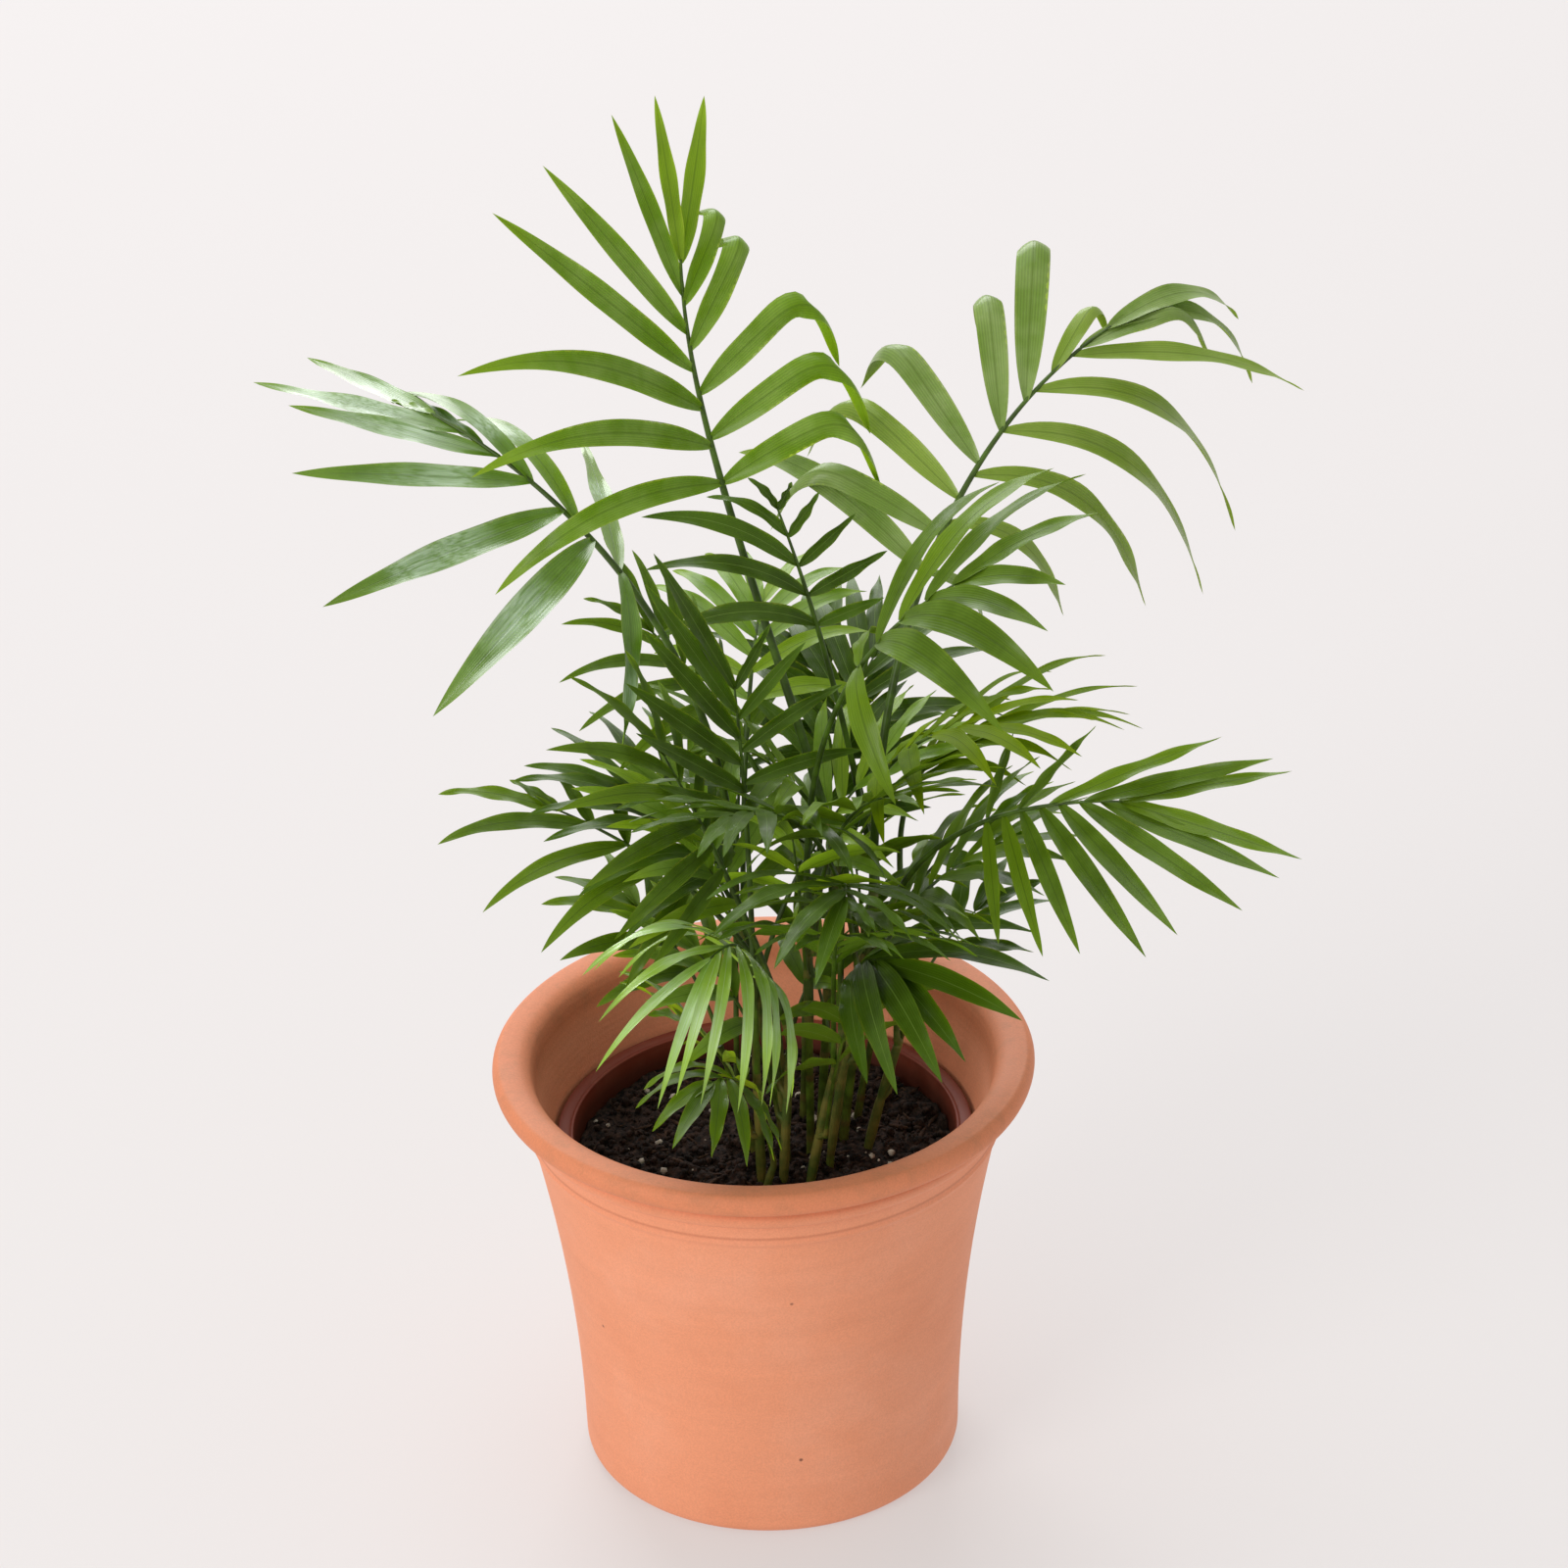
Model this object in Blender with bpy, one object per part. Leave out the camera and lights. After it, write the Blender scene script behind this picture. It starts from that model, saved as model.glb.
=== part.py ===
"""A parlour palm in its pots: a clump of slim stems whose fronds arch out on all sides, rooted in
compost in a plastic nursery pot, which stands inside a flared terracotta pot. Metres, +Z up, with
the origin at the centre of the terracotta pot's flat underside."""

import math
import random
from dataclasses import dataclass, replace

import bmesh
import bpy
import numpy as np
from mathutils.bvhtree import BVHTree

GAP = 0.0003                # clearance between neighbouring solids

POT_HEIGHT = 0.2068         # up to the widest ring of the lip
POT_FOOT_RADIUS = 0.0885
POT_FLARE = 0.0275          # how much wider the wall is at the lip than at the foot
POT_WALL = 0.0085
POT_FLOOR = 0.012
POT_FOOT_ROUND = 0.007
LIP_RADIUS = 0.125
LIP_INNER_RADIUS = 0.1075
LIP_CREST_RISE = 0.003      # the lip's inner crest stands this much over its widest ring
LIP_BEAD = 0.0062           # radius of the lip's rolled edge
RIDGE_HEIGHT = 0.1865       # the moulded ridge under the lip
RIDGE_RISE = 0.0012
NECK_RADIUS = 0.1135        # the crease between the ridge and the lip
NECK_HEIGHT = 0.1935
POT_SIDES = 36

NURSERY_TOP = 0.170
NURSERY_RIM_RADIUS = 0.0965
NURSERY_RIM_WIDTH = 0.0075
NURSERY_FOOT_RADIUS = 0.068
NURSERY_WALL = 0.0016
NURSERY_SIDES = 32
DRAIN_HOLES = 6
DRAIN_RADIUS = 0.0045
DRAIN_CIRCLE = 0.045

SOIL_TOP = 0.157
STEM_SIDES = 6
RIB_SIDES = 3
STEM_STEP = 0.040           # spacing of the rings that old leaves left on a stem
STEM_RING = 0.0015          # half the height of such a ring
STEM_TAPER = 0.22           # share of its radius that a stem loses by its top

LEAF_WIDTH_RATIO = 0.085    # leaflet width for each unit of its length
LEAF_WIDTH_BASE = 0.0035
LEAF_THICKNESS_RATIO = 0.014
LEAF_LEAST_DEPTH = 0.0009
LEAF_LEAST_HALF_WIDTH = 0.0008
LEAF_CLEARANCE = 0.0007
LONG_LEAF = 0.085           # a leaflet longer than this has one more station
LEAF_STEPS = 24             # steps along a leaflet's line, of which the stations are a few
RIB_CLEARANCE = 0.0004
RIB_STEPS = 60

# What is tried in turn until a leaflet clears its neighbours: degrees of lift, degrees of spread
# and a share of its length. Below them, the degrees that a rib is turned by, for the same reason.
SHIFTS = ((0, 0, 1.0), (9, 0, 1.0), (-9, 0, 1.0), (0, 8, 0.95), (0, -8, 0.95), (18, 0, 0.9), (-18, 0, 0.9),
          (12, 10, 0.8), (-12, -10, 0.8), (26, 0, 0.7), (-26, 0, 0.7), (0, 14, 0.6), (0, -14, 0.6))
TURNS = tuple(turn * sign for turn in range(0, 180, 12) for sign in (1, -1))

# The blade whose curled leaflets cross one another is joined by the manifold solver, because the
# exact one leaves it in several pieces.
MANIFOLD_BLADES = ("frond_top",)

DOWN = np.array([0.0, 0.0, -1.0])
UP = -DOWN


@dataclass(frozen=True)
class Side:
    """The leaflets along one side of a frond, from its base to its tip."""

    count: int
    spread: tuple = (66, 18)        # degrees from the rib, at the base and at the tip
    lift: float = 12                # degrees raised out of the frond's plane
    length: tuple = (0.065, 0.055)  # at the base and at the tip
    droop: float = 0.6              # how far the weight of a leaflet bends its end


@dataclass(frozen=True)
class Stem:
    """One upright stem, from its flat cut at the compost to its flat top."""

    foot: tuple
    top: tuple
    radius: float = 0.0026


@dataclass(frozen=True)
class Frond:
    """One frond: a bare petiole that goes over into the rib between two rows of leaflets."""

    name: str
    stem: str
    heading: float                  # degrees, 0 along +X and 90 along +Y
    rise: tuple                     # degrees above level, at the foot and at the tip
    petiole: float
    blade: float
    left: Side
    right: Side
    turn: float = 0                 # how far the heading swings by the tip
    bend: float = 1.5               # over 1, the rib curves mostly near its tip
    roll: float = 0
    curl: float = 1.6               # over 1, a leaflet bends mostly near its end
    down: float = 0                 # how far below the stem's top a side frond leaves it
    radius: float = 0.0016


STEMS = {
    "a": Stem((-0.002, -0.030), (-0.003, -0.036, 0.225)),
    "b": Stem((0.008, -0.031), (0.013, -0.028, 0.232)),
    "c": Stem((0.020, -0.034), (0.036, -0.038, 0.236)),
    "d": Stem((0.029, -0.022), (0.040, -0.026, 0.236)),
    "e": Stem((0.036, 0.002), (0.052, 0.004, 0.272), 0.0032),
    "f": Stem((0.043, 0.022), (0.066, 0.040, 0.262)),
    "g": Stem((0.047, -0.006), (0.068, -0.012, 0.238)),
    "h": Stem((0.010, -0.014), (0.006, -0.012, 0.244)),
    "i": Stem((0.021, -0.010), (0.022, -0.018, 0.300), 0.0028),
    "j": Stem((0.009, 0.002), (-0.011, 0.005, 0.290), 0.0028),
    "k": Stem((0.026, 0.008), (0.036, 0.007, 0.310), 0.0032),
    "l": Stem((0.034, 0.018), (0.054, 0.028, 0.280)),
    "m": Stem((-0.004, -0.008), (-0.020, -0.012, 0.222)),
    "n": Stem((0.018, 0.024), (0.024, 0.036, 0.270)),
    "o": Stem((-0.001, -0.042), (0.004, -0.042, 0.176), 0.0020),
}

# The fronds that stand out of the crown, each set by its own curve.
SHOWN = (
    Frond("frond_top", "k", 128, (66, 90), 0.178, 0.107,
          Side(7, (70, 10), 35, (0.138, 0.088), 1.2), Side(6, (70, 22), 30, (0.138, 0.094), 4.8),
          turn=24, bend=2.8, roll=-31, curl=1.9, radius=0.0022),
    Frond("frond_right_tall", "e", 63, (90, 16), 0.173, 0.145,
          Side(9, (78, 10), 8, (0.130, 0.115), 4.0), Side(7, (84, 13), -12, (0.120, 0.128), 4.6),
          turn=-29, bend=1.3, roll=36, curl=1.5, radius=0.0022),
    Frond("frond_left_long", "j", 182, (90, 19), 0.174, 0.110,
          Side(7, (86, 10), 34, (0.138, 0.068), 1.2), Side(5, (42, 10), 34, (0.092, 0.051), 2.1),
          turn=-29, bend=1.3, roll=-16, curl=1.3, radius=0.0020),
    Frond("frond_right_low", "e", -52, (80, 9), 0.118, 0.070,
          Side(5, (72, 18), 34, (0.034, 0.076), 0.8), Side(8, (82, 13), -12, (0.060, 0.086), 0.1),
          turn=30, bend=0.9, roll=36, curl=1.7, down=0.012),
    Frond("frond_left_lean", "b", 208, (76, 66), 0.104, 0.068,
          Side(6, (84, 10), -8, (0.064, 0.062), 1.2), Side(5, (84, 26), 9, (0.028, 0.049), 1.2),
          turn=-13, bend=0.9, roll=-36, curl=1.3),
    Frond("frond_left_lower", "h", 180, (76, 19), 0.071, 0.069,
          Side(5, (78, 10), 5, (0.064, 0.061), 2.0), Side(5, (84, 16), 9, (0.028, 0.028), 0.8),
          turn=-16, bend=0.8, roll=-22, curl=2.0),
    Frond("frond_centre_vee", "a", 90, (88, 80), 0.127, 0.061,
          Side(6, (58, 28), 17, (0.059, 0.088), 0.0), Side(5, (84, 32), 22, (0.055, 0.032), 1.0),
          turn=28, roll=6, curl=1.3),
    Frond("frond_front_bright", "a", 273, (90, 0), 0.067, 0.069,
          Side(6, (64, 10), -12, (0.078, 0.081), 2.4), Side(4, (28, 10), -12, (0.080, 0.084), 1.4),
          turn=-29, bend=1.9, roll=-26, curl=1.9, down=0.010),
    Frond("frond_front_small", "o", 238, (75, 16), 0.062, 0.036,
          Side(5, (78, 10), -6, (0.041, 0.062), 0.8), Side(3, (80, 10), 7, (0.028, 0.041), 2.8),
          turn=6, bend=1.7, roll=-19, curl=1.2, radius=0.0011),
    Frond("frond_front_dark", "c", 285, (91, 3), 0.115, 0.026,
          Side(4, (73, 35), 1, (0.060, 0.028), 1.3), Side(4, (41, 8), 14, (0.092, 0.078), 0.8),
          turn=-18, bend=2.0, roll=-5, curl=1.7),
    Frond("frond_right_front", "d", 293, (90, 12), 0.038, 0.022,
          Side(4, (32, 10), -12, (0.073, 0.089), 1.1), Side(4, (48, 10), -12, (0.080, 0.077), 1.5),
          turn=11, bend=1.9, roll=24, curl=1.3),
    Frond("frond_mid_right", "i", -44, (90, 35), 0.133, 0.066,
          Side(5, (84, 10), 6, (0.061, 0.068), 1.2), Side(5, (84, 10), 18, (0.086, 0.077), 1.3),
          turn=27, bend=1.4, roll=25, curl=1.3),
    Frond("frond_right_yellow", "f", 30, (93, 27), 0.066, 0.026,
          Side(4, (44, 8), -14, (0.059, 0.090), 1.6), Side(5, (36, 8), -14, (0.071, 0.090), 2.1),
          turn=-30, bend=2.4, roll=-2, curl=2.5),
    Frond("frond_upper_dark", "l", 154, (81, 72), 0.135, 0.060,
          Side(5, (46, 10), -9, (0.080, 0.044), 1.8), Side(5, (84, 46), 34, (0.034, 0.034), 0.1),
          turn=19, bend=1.4, roll=-34, curl=1.3),
    Frond("frond_back_left", "n", 156, (76, 45), 0.106, 0.043,
          Side(5, (72, 10), 8, (0.066, 0.038), 1.8), Side(5, (50, 21), 15, (0.037, 0.048), 0.9),
          turn=6, bend=0.9, roll=-17, curl=1.8),
)

# The fronds inside the crown and on its far side follow one rule, round from stem to stem.
INNER_STEMS = "nlkfgmhijedbcm"
INNER_FIRST_HEADING = 62
INNER_HEADING_STEP = 137.5


def inner_fronds():
    """Smaller fronds that fill the crown, turned by the golden angle from one to the next."""
    fronds = []
    for index, stem in enumerate(INNER_STEMS):
        chance = random.Random(index)
        leaf = 0.060 + 0.012 * chance.random()
        side = Side(6, (68, 20), 12, (leaf, leaf * 0.8), 0.8 + 0.6 * chance.random())
        fronds.append(Frond(
            f"frond_inner_{index + 1:02d}", stem, (INNER_FIRST_HEADING + INNER_HEADING_STEP * index) % 360,
            (84, 10 + 30 * chance.random()), 0.070 + 0.050 * chance.random(), 0.052, side,
            replace(side, count=5), down=0.016 + 0.010 * (index % 2), radius=0.0014))
    return fronds


def unit(vectors):
    return vectors / np.maximum(np.linalg.norm(vectors, axis=-1, keepdims=True), 1e-9)


def blend(pair, t):
    return pair[0] + (pair[1] - pair[0]) * t


def path(start, directions, length):
    """Points along a curve that keeps to the given directions, by the trapezium rule."""
    steps = (directions[1:] + directions[:-1]) / 2 * (length / (len(directions) - 1))
    return start + np.vstack([np.zeros(3), np.cumsum(steps, axis=0)])


def stem_point(stem, height):
    foot = np.array([*stem.foot, SOIL_TOP + GAP])
    top = np.array(stem.top)
    along = (height - foot[2]) / (top[2] - foot[2])
    bow = 0.25 * (top - foot) * np.array([1.0, 1.0, 0.0]) * along * (along - 1)
    return foot + (top - foot) * along + bow


def stem_radius(stem, height):
    return stem.radius * (1 - STEM_TAPER * (height - SOIL_TOP) / (stem.top[2] - SOIL_TOP))


def rib_path(frond, count=RIB_STEPS + 1):
    """The frond's rib, petiole included: its points and their directions."""
    stem = STEMS[frond.stem]
    level = stem.top[2] - frond.down
    start = stem_point(stem, level)
    if frond.down:
        heading = math.radians(frond.heading)
        clear = stem_radius(stem, level - 0.004) + frond.radius * 1.15 + 2 * GAP
        start = start + clear * np.array([math.cos(heading), math.sin(heading), 0.0])
    else:
        start = start + (GAP + frond.radius * 1.2 * math.cos(math.radians(frond.rise[0]))) * UP
    u = np.linspace(0, 1, count)
    rise = np.radians(blend(frond.rise, u ** frond.bend))
    heading = np.radians(frond.heading + frond.turn * u)
    directions = np.stack(
        [np.cos(rise) * np.cos(heading), np.cos(rise) * np.sin(heading), np.sin(rise)], axis=-1)
    return path(start, directions, frond.petiole + frond.blade), directions


def rib_frame(frond, where, points, directions):
    """The point, direction, upper normal and rightward direction at a fraction of the rib."""
    place = where * (len(points) - 1)
    index = min(int(place), len(points) - 2)
    point = blend((points[index], points[index + 1]), place - index)
    along = unit(blend((directions[index], directions[index + 1]), place - index))
    heading = math.radians(frond.heading + frond.turn * where)
    across = np.array([math.sin(heading), -math.cos(heading), 0.0])
    across = unit(across - (across @ along) * along)
    normal = np.cross(across, along)
    roll = math.radians(frond.roll)
    across = across * math.cos(roll) - normal * math.sin(roll)
    return point, along, np.cross(across, along), across


@dataclass(frozen=True)
class Leaflet:
    """One leaflet: the line of its midrib, its direction, its widths and its depth there."""

    points: np.ndarray
    directions: np.ndarray
    widths: np.ndarray
    half_width: np.ndarray
    depth: float


def leaf_outline(u):
    """The half width along a leaflet, 1 at its widest: narrow where it leaves the rib, then
    nearly straight, then drawn out to a fine tip."""
    return (u + 0.012) ** 0.8 * (1.0 - u) ** 0.75 / 0.348


def leaflet(frond, side, sign, index, shift, points, directions):
    """Shape one leaflet. The shift is (degrees of lift, degrees of spread, share of length) that
    makes it clear its neighbours."""
    t = index / max(side.count - 1, 1)
    chance = random.Random(f"{frond.name}{sign}{index}")
    reach = frond.petiole + frond.blade
    where = (frond.petiole + frond.blade * min(t, 0.985)) / reach
    base, along, normal, across = rib_frame(frond, where, points, directions)
    spread = math.radians(blend(side.spread, t) + shift[1] + chance.uniform(-3, 3))
    lift = math.radians(side.lift + shift[0] + chance.uniform(-3, 3))
    length = blend(side.length, t) * (1 + 0.25 * math.sin(math.pi * t)) * shift[2]
    length *= chance.uniform(0.95, 1.05)
    droop = side.droop * (1 - 0.6 * t) * chance.uniform(0.85, 1.15)
    out = math.cos(lift) * sign * across + math.sin(lift) * normal
    first = math.cos(spread) * along + math.sin(spread) * out
    bend = unit(DOWN - 0.8 * normal)
    stations = 5 if length > LONG_LEAF else 4
    fine = np.linspace(0, 1, LEAF_STEPS + 1)[:, None]
    line = unit(first + droop * fine ** frond.curl * bend)
    curve = path(base, line, length)
    keep = np.round(np.linspace(0, 1, stations) ** 0.9 * LEAF_STEPS).astype(int)
    line, curve, u = line[keep], curve[keep], keep / LEAF_STEPS
    face = unit(normal * 0.75 + UP * 0.25)
    widths = np.cross(face, first) * np.ones_like(line)
    widths = unit(widths - np.sum(widths * line, axis=1, keepdims=True) * line)
    half = (LEAF_WIDTH_RATIO * length + LEAF_WIDTH_BASE) / 2
    depth = max(LEAF_THICKNESS_RATIO * length, LEAF_LEAST_DEPTH)
    return Leaflet(curve, line, widths, half * leaf_outline(u), depth)


def leaflet_mesh(leaf, margin=0.0):
    """A closed blade, three-cornered across, that comes to a point at its tip."""
    normals = np.cross(leaf.directions, leaf.widths)
    half = np.maximum(leaf.half_width, LEAF_LEAST_HALF_WIDTH)[:, None] + margin
    depth = leaf.depth * np.linspace(1, 0.5, len(half))[:, None] + margin
    top = leaf.points + normals * margin
    keel = leaf.points - normals * depth
    rings = np.stack([top - leaf.widths * half, top + leaf.widths * half, keel], axis=1)[:-1]
    tip = leaf.points[-1] + leaf.directions[-1] * margin
    points = np.vstack([rings.reshape(-1, 3), tip])
    faces = [(0, 1, 2)]
    for ring in range(len(rings) - 1):
        for corner in range(3):
            near = ring * 3 + corner
            side = ring * 3 + (corner + 1) % 3
            faces.append((near, near + 3, side + 3, side))
    last = (len(rings) - 1) * 3
    faces += [(last + corner, last + 3, last + (corner + 1) % 3) for corner in range(3)]
    return points, faces


def tube_mesh(points, directions, radii, sides):
    """A closed tube of the given radii along a line of points."""
    across = unit(np.cross(directions, np.array([0.31, 0.95, 0.05])))
    other = np.cross(directions, across)
    angles = np.arange(sides) * 2 * math.pi / sides
    ring = (np.cos(angles)[None, :, None] * across[:, None] + np.sin(angles)[None, :, None] * other[:, None])
    corners = (points[:, None] + ring * np.asarray(radii)[:, None, None]).reshape(-1, 3)
    faces = [tuple(range(sides))[::-1]]
    for level in range(len(points) - 1):
        for corner in range(sides):
            near = level * sides + corner
            side = level * sides + (corner + 1) % sides
            faces.append((near, side, side + sides, near + sides))
    last = (len(points) - 1) * sides
    faces.append(tuple(range(last, last + sides)))
    return corners, faces


def rib_mesh(frond, points, directions, margin=0.0):
    """The petiole and the rib in one tapered piece."""
    last = len(points) - 1
    blade_start = frond.petiole / (frond.petiole + frond.blade)
    where = np.append(np.linspace(0, blade_start, 5)[:-1], np.linspace(blade_start, 1, 6))
    keep = np.round(where * last).astype(int)
    radii = frond.radius * np.interp(where, [0, 0.05, blade_start, 1], [1.15, 1, 0.75, 0.3]) + margin
    return tube_mesh(points[keep], directions[keep], radii, RIB_SIDES)


def new_object(name, points, faces):
    mesh = bpy.data.meshes.new(name)
    mesh.from_pydata(np.asarray(points).tolist(), [], faces)
    thing = bpy.data.objects.new(name, mesh)
    bpy.context.scene.collection.objects.link(thing)
    faces_out(thing)
    return thing


def faces_out(thing):
    shape = bmesh.new()
    shape.from_mesh(thing.data)
    bmesh.ops.recalc_face_normals(shape, faces=shape.faces)
    shape.to_mesh(thing.data)
    shape.free()


def keep_largest_body(thing):
    """Drop the loose scraps and the shells of sealed hollows that a union leaves."""
    shape = bmesh.new()
    shape.from_mesh(thing.data)
    bodies = []
    seen = set()
    for start in shape.faces:
        if start in seen:
            continue
        body = []
        waiting = [start]
        seen.add(start)
        while waiting:
            face = waiting.pop()
            body.append(face)
            for other in {near for edge in face.edges for near in edge.link_faces} - seen:
                seen.add(other)
                waiting.append(other)
        bodies.append(body)
    bodies.sort(key=len)
    for body in bodies[:-1]:
        bmesh.ops.delete(shape, geom=body, context="FACES")
    bmesh.ops.dissolve_limit(shape, angle_limit=math.radians(2), verts=shape.verts, edges=shape.edges)
    bmesh.ops.triangulate(shape, faces=shape.faces)
    shape.to_mesh(thing.data)
    shape.free()


def join_to(thing, others, solver):
    """Join the other objects to this one with one Boolean union, then remove them."""
    group = bpy.data.collections.new("union")
    for other in others:
        group.objects.link(other)
    union = thing.modifiers.new("union", "BOOLEAN")
    union.operation = "UNION"
    union.operand_type = "COLLECTION"
    union.collection = group
    union.solver = solver
    graph = bpy.context.evaluated_depsgraph_get()
    joined = bpy.data.meshes.new_from_object(thing.evaluated_get(graph))
    thing.modifiers.clear()
    thing.data = joined
    for other in others:
        bpy.data.objects.remove(other)
    bpy.data.collections.remove(group)
    keep_largest_body(thing)


def tree_of(points, faces):
    return BVHTree.FromPolygons(np.asarray(points).tolist(), faces)


def clear_leaflet(frond, side, sign, index, line, obstacles):
    """The first shape of a leaflet that stays clear of all other nodes, or None."""
    for shift in SHIFTS:
        leaf = leaflet(frond, side, sign, index, shift, *line)
        hull = tree_of(*leaflet_mesh(leaf, LEAF_CLEARANCE))
        if not any(hull.overlap(other) for other in obstacles):
            return leaf
    return None


def clear_ribs(fronds, stem_trees):
    """Turn each frond that follows the rule on to the first heading where its rib meets no other."""
    placed = []
    rib_trees = {}
    for frond in fronds:
        for turned_by in TURNS if frond.down else (0,):
            tried = replace(frond, heading=frond.heading + turned_by)
            hull = tree_of(*rib_mesh(tried, *rib_path(tried), RIB_CLEARANCE))
            if not any(hull.overlap(other) for other in [*stem_trees, *rib_trees.values()]):
                break
        placed.append(tried)
        rib_trees[frond.name] = tree_of(*rib_mesh(tried, *rib_path(tried)))
    return placed, rib_trees


def build_fronds(fronds, stem_trees):
    """Lay out every rib first, then the leaflets of one frond after another."""
    fronds, rib_trees = clear_ribs(fronds, stem_trees)
    lines = {frond.name: rib_path(frond) for frond in fronds}
    leaf_trees = {}
    made = []
    for frond in fronds:
        obstacles = list(stem_trees)
        obstacles += [tree for name, tree in rib_trees.items() if name != frond.name]
        obstacles += [tree for trees in leaf_trees.values() for tree in trees]
        leaves = []
        for sign, side in ((-1, frond.left), (1, frond.right)):
            for index in range(side.count):
                leaf = clear_leaflet(frond, side, sign, index, lines[frond.name], obstacles)
                if leaf is not None:
                    leaves.append(leaflet_mesh(leaf))
        leaf_trees[frond.name] = [tree_of(*shape) for shape in leaves]
        blade = new_object(frond.name, *rib_mesh(frond, *lines[frond.name]))
        parts = [new_object(f"{frond.name}_leaf_{place}", *shape) for place, shape in enumerate(leaves)]
        join_to(blade, parts, "MANIFOLD" if frond.name in MANIFOLD_BLADES else "EXACT")
        made.append(blade)
    return made


def build_stem(name, stem):
    """A tapered stem with a raised ring where each old leaf came off."""
    heights = [SOIL_TOP + GAP]
    swell = [1.15]
    rings = max(int((stem.top[2] - SOIL_TOP) / STEM_STEP), 1)
    for ring in range(1, rings):
        height = SOIL_TOP + ring * (stem.top[2] - SOIL_TOP) / rings
        heights += [height - STEM_RING, height, height + STEM_RING]
        swell += [1.0, 1.18, 1.0]
    heights.append(stem.top[2])
    swell.append(1.0)
    points = np.array([stem_point(stem, height) for height in heights])
    directions = np.tile(UP, (len(points), 1))
    radii = [stem_radius(stem, height) * factor for height, factor in zip(heights, swell)]
    return new_object(name, *tube_mesh(points, directions, radii, STEM_SIDES))


def arc(centre, radius, first, last, steps):
    """Points on a circle, between two angles in degrees."""
    angles = np.radians(np.linspace(first, last, steps))
    return [(centre[0] + radius * math.cos(a), centre[1] + radius * math.sin(a)) for a in angles]


def turned(name, profile, sides):
    """Turn a closed (radius, height) profile round the vertical axis."""
    shape = bmesh.new()
    verts = [shape.verts.new((radius, 0.0, height)) for radius, height in profile]
    edges = [shape.edges.new(pair) for pair in zip(verts, verts[1:])]
    if profile[0][0] > 0 or profile[-1][0] > 0:
        edges.append(shape.edges.new((verts[-1], verts[0])))
    bmesh.ops.spin(shape, geom=verts + edges, cent=(0, 0, 0), axis=(0, 0, 1), angle=2 * math.pi,
                   steps=sides, use_merge=True)
    bmesh.ops.remove_doubles(shape, verts=shape.verts, dist=1e-6)
    bmesh.ops.recalc_face_normals(shape, faces=shape.faces)
    mesh = bpy.data.meshes.new(name)
    shape.to_mesh(mesh)
    shape.free()
    mesh.shade_smooth()
    mesh.set_sharp_from_angle(angle=math.radians(35))
    thing = bpy.data.objects.new(name, mesh)
    bpy.context.scene.collection.objects.link(thing)
    return thing


def pot_radius(height):
    """The outside of the terracotta wall, which flares with the square of the height."""
    return POT_FOOT_RADIUS + POT_FLARE * (height / POT_HEIGHT) ** 2


def build_pot():
    """The terracotta pot: flared wall, moulded ridge and a thick rolled lip."""
    foot = arc((pot_radius(0) - POT_FOOT_ROUND, POT_FOOT_ROUND), POT_FOOT_ROUND, -90, 0, 4)
    wall = [(pot_radius(height), height) for height in np.linspace(0.03, 0.178, 6)]
    ridge = [(pot_radius(RIDGE_HEIGHT + step) + rise, RIDGE_HEIGHT + step)
             for step, rise in ((-0.0025, 0.0), (0.0, RIDGE_RISE), (0.0025, 0.0))]
    neck = [(NECK_RADIUS, NECK_HEIGHT)]
    bead = arc((LIP_RADIUS - LIP_BEAD, POT_HEIGHT - 0.0012), LIP_BEAD, -80, 60, 6)
    crest = [(0.1165, POT_HEIGHT + LIP_CREST_RISE + 0.0012), (0.1110, POT_HEIGHT + LIP_CREST_RISE)]
    inner = [(LIP_INNER_RADIUS, POT_HEIGHT), (0.1050, 0.2000)]
    inside = [(pot_radius(height) - POT_WALL, height) for height in np.linspace(0.186, 0.03, 5)]
    floor = [(pot_radius(0) - POT_WALL - 0.008, POT_FLOOR), (0.0, POT_FLOOR)]
    profile = [(0.0, 0.0)] + foot + wall + ridge + neck + bead + crest + inner + inside + floor
    return turned("terracotta_pot", profile, POT_SIDES)


def nursery_radius(height):
    """The outside of the nursery pot's straight tapered wall."""
    share = (height - POT_FLOOR) / (NURSERY_TOP - POT_FLOOR)
    return blend((NURSERY_FOOT_RADIUS, NURSERY_RIM_RADIUS - NURSERY_RIM_WIDTH + 0.003), share)


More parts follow.
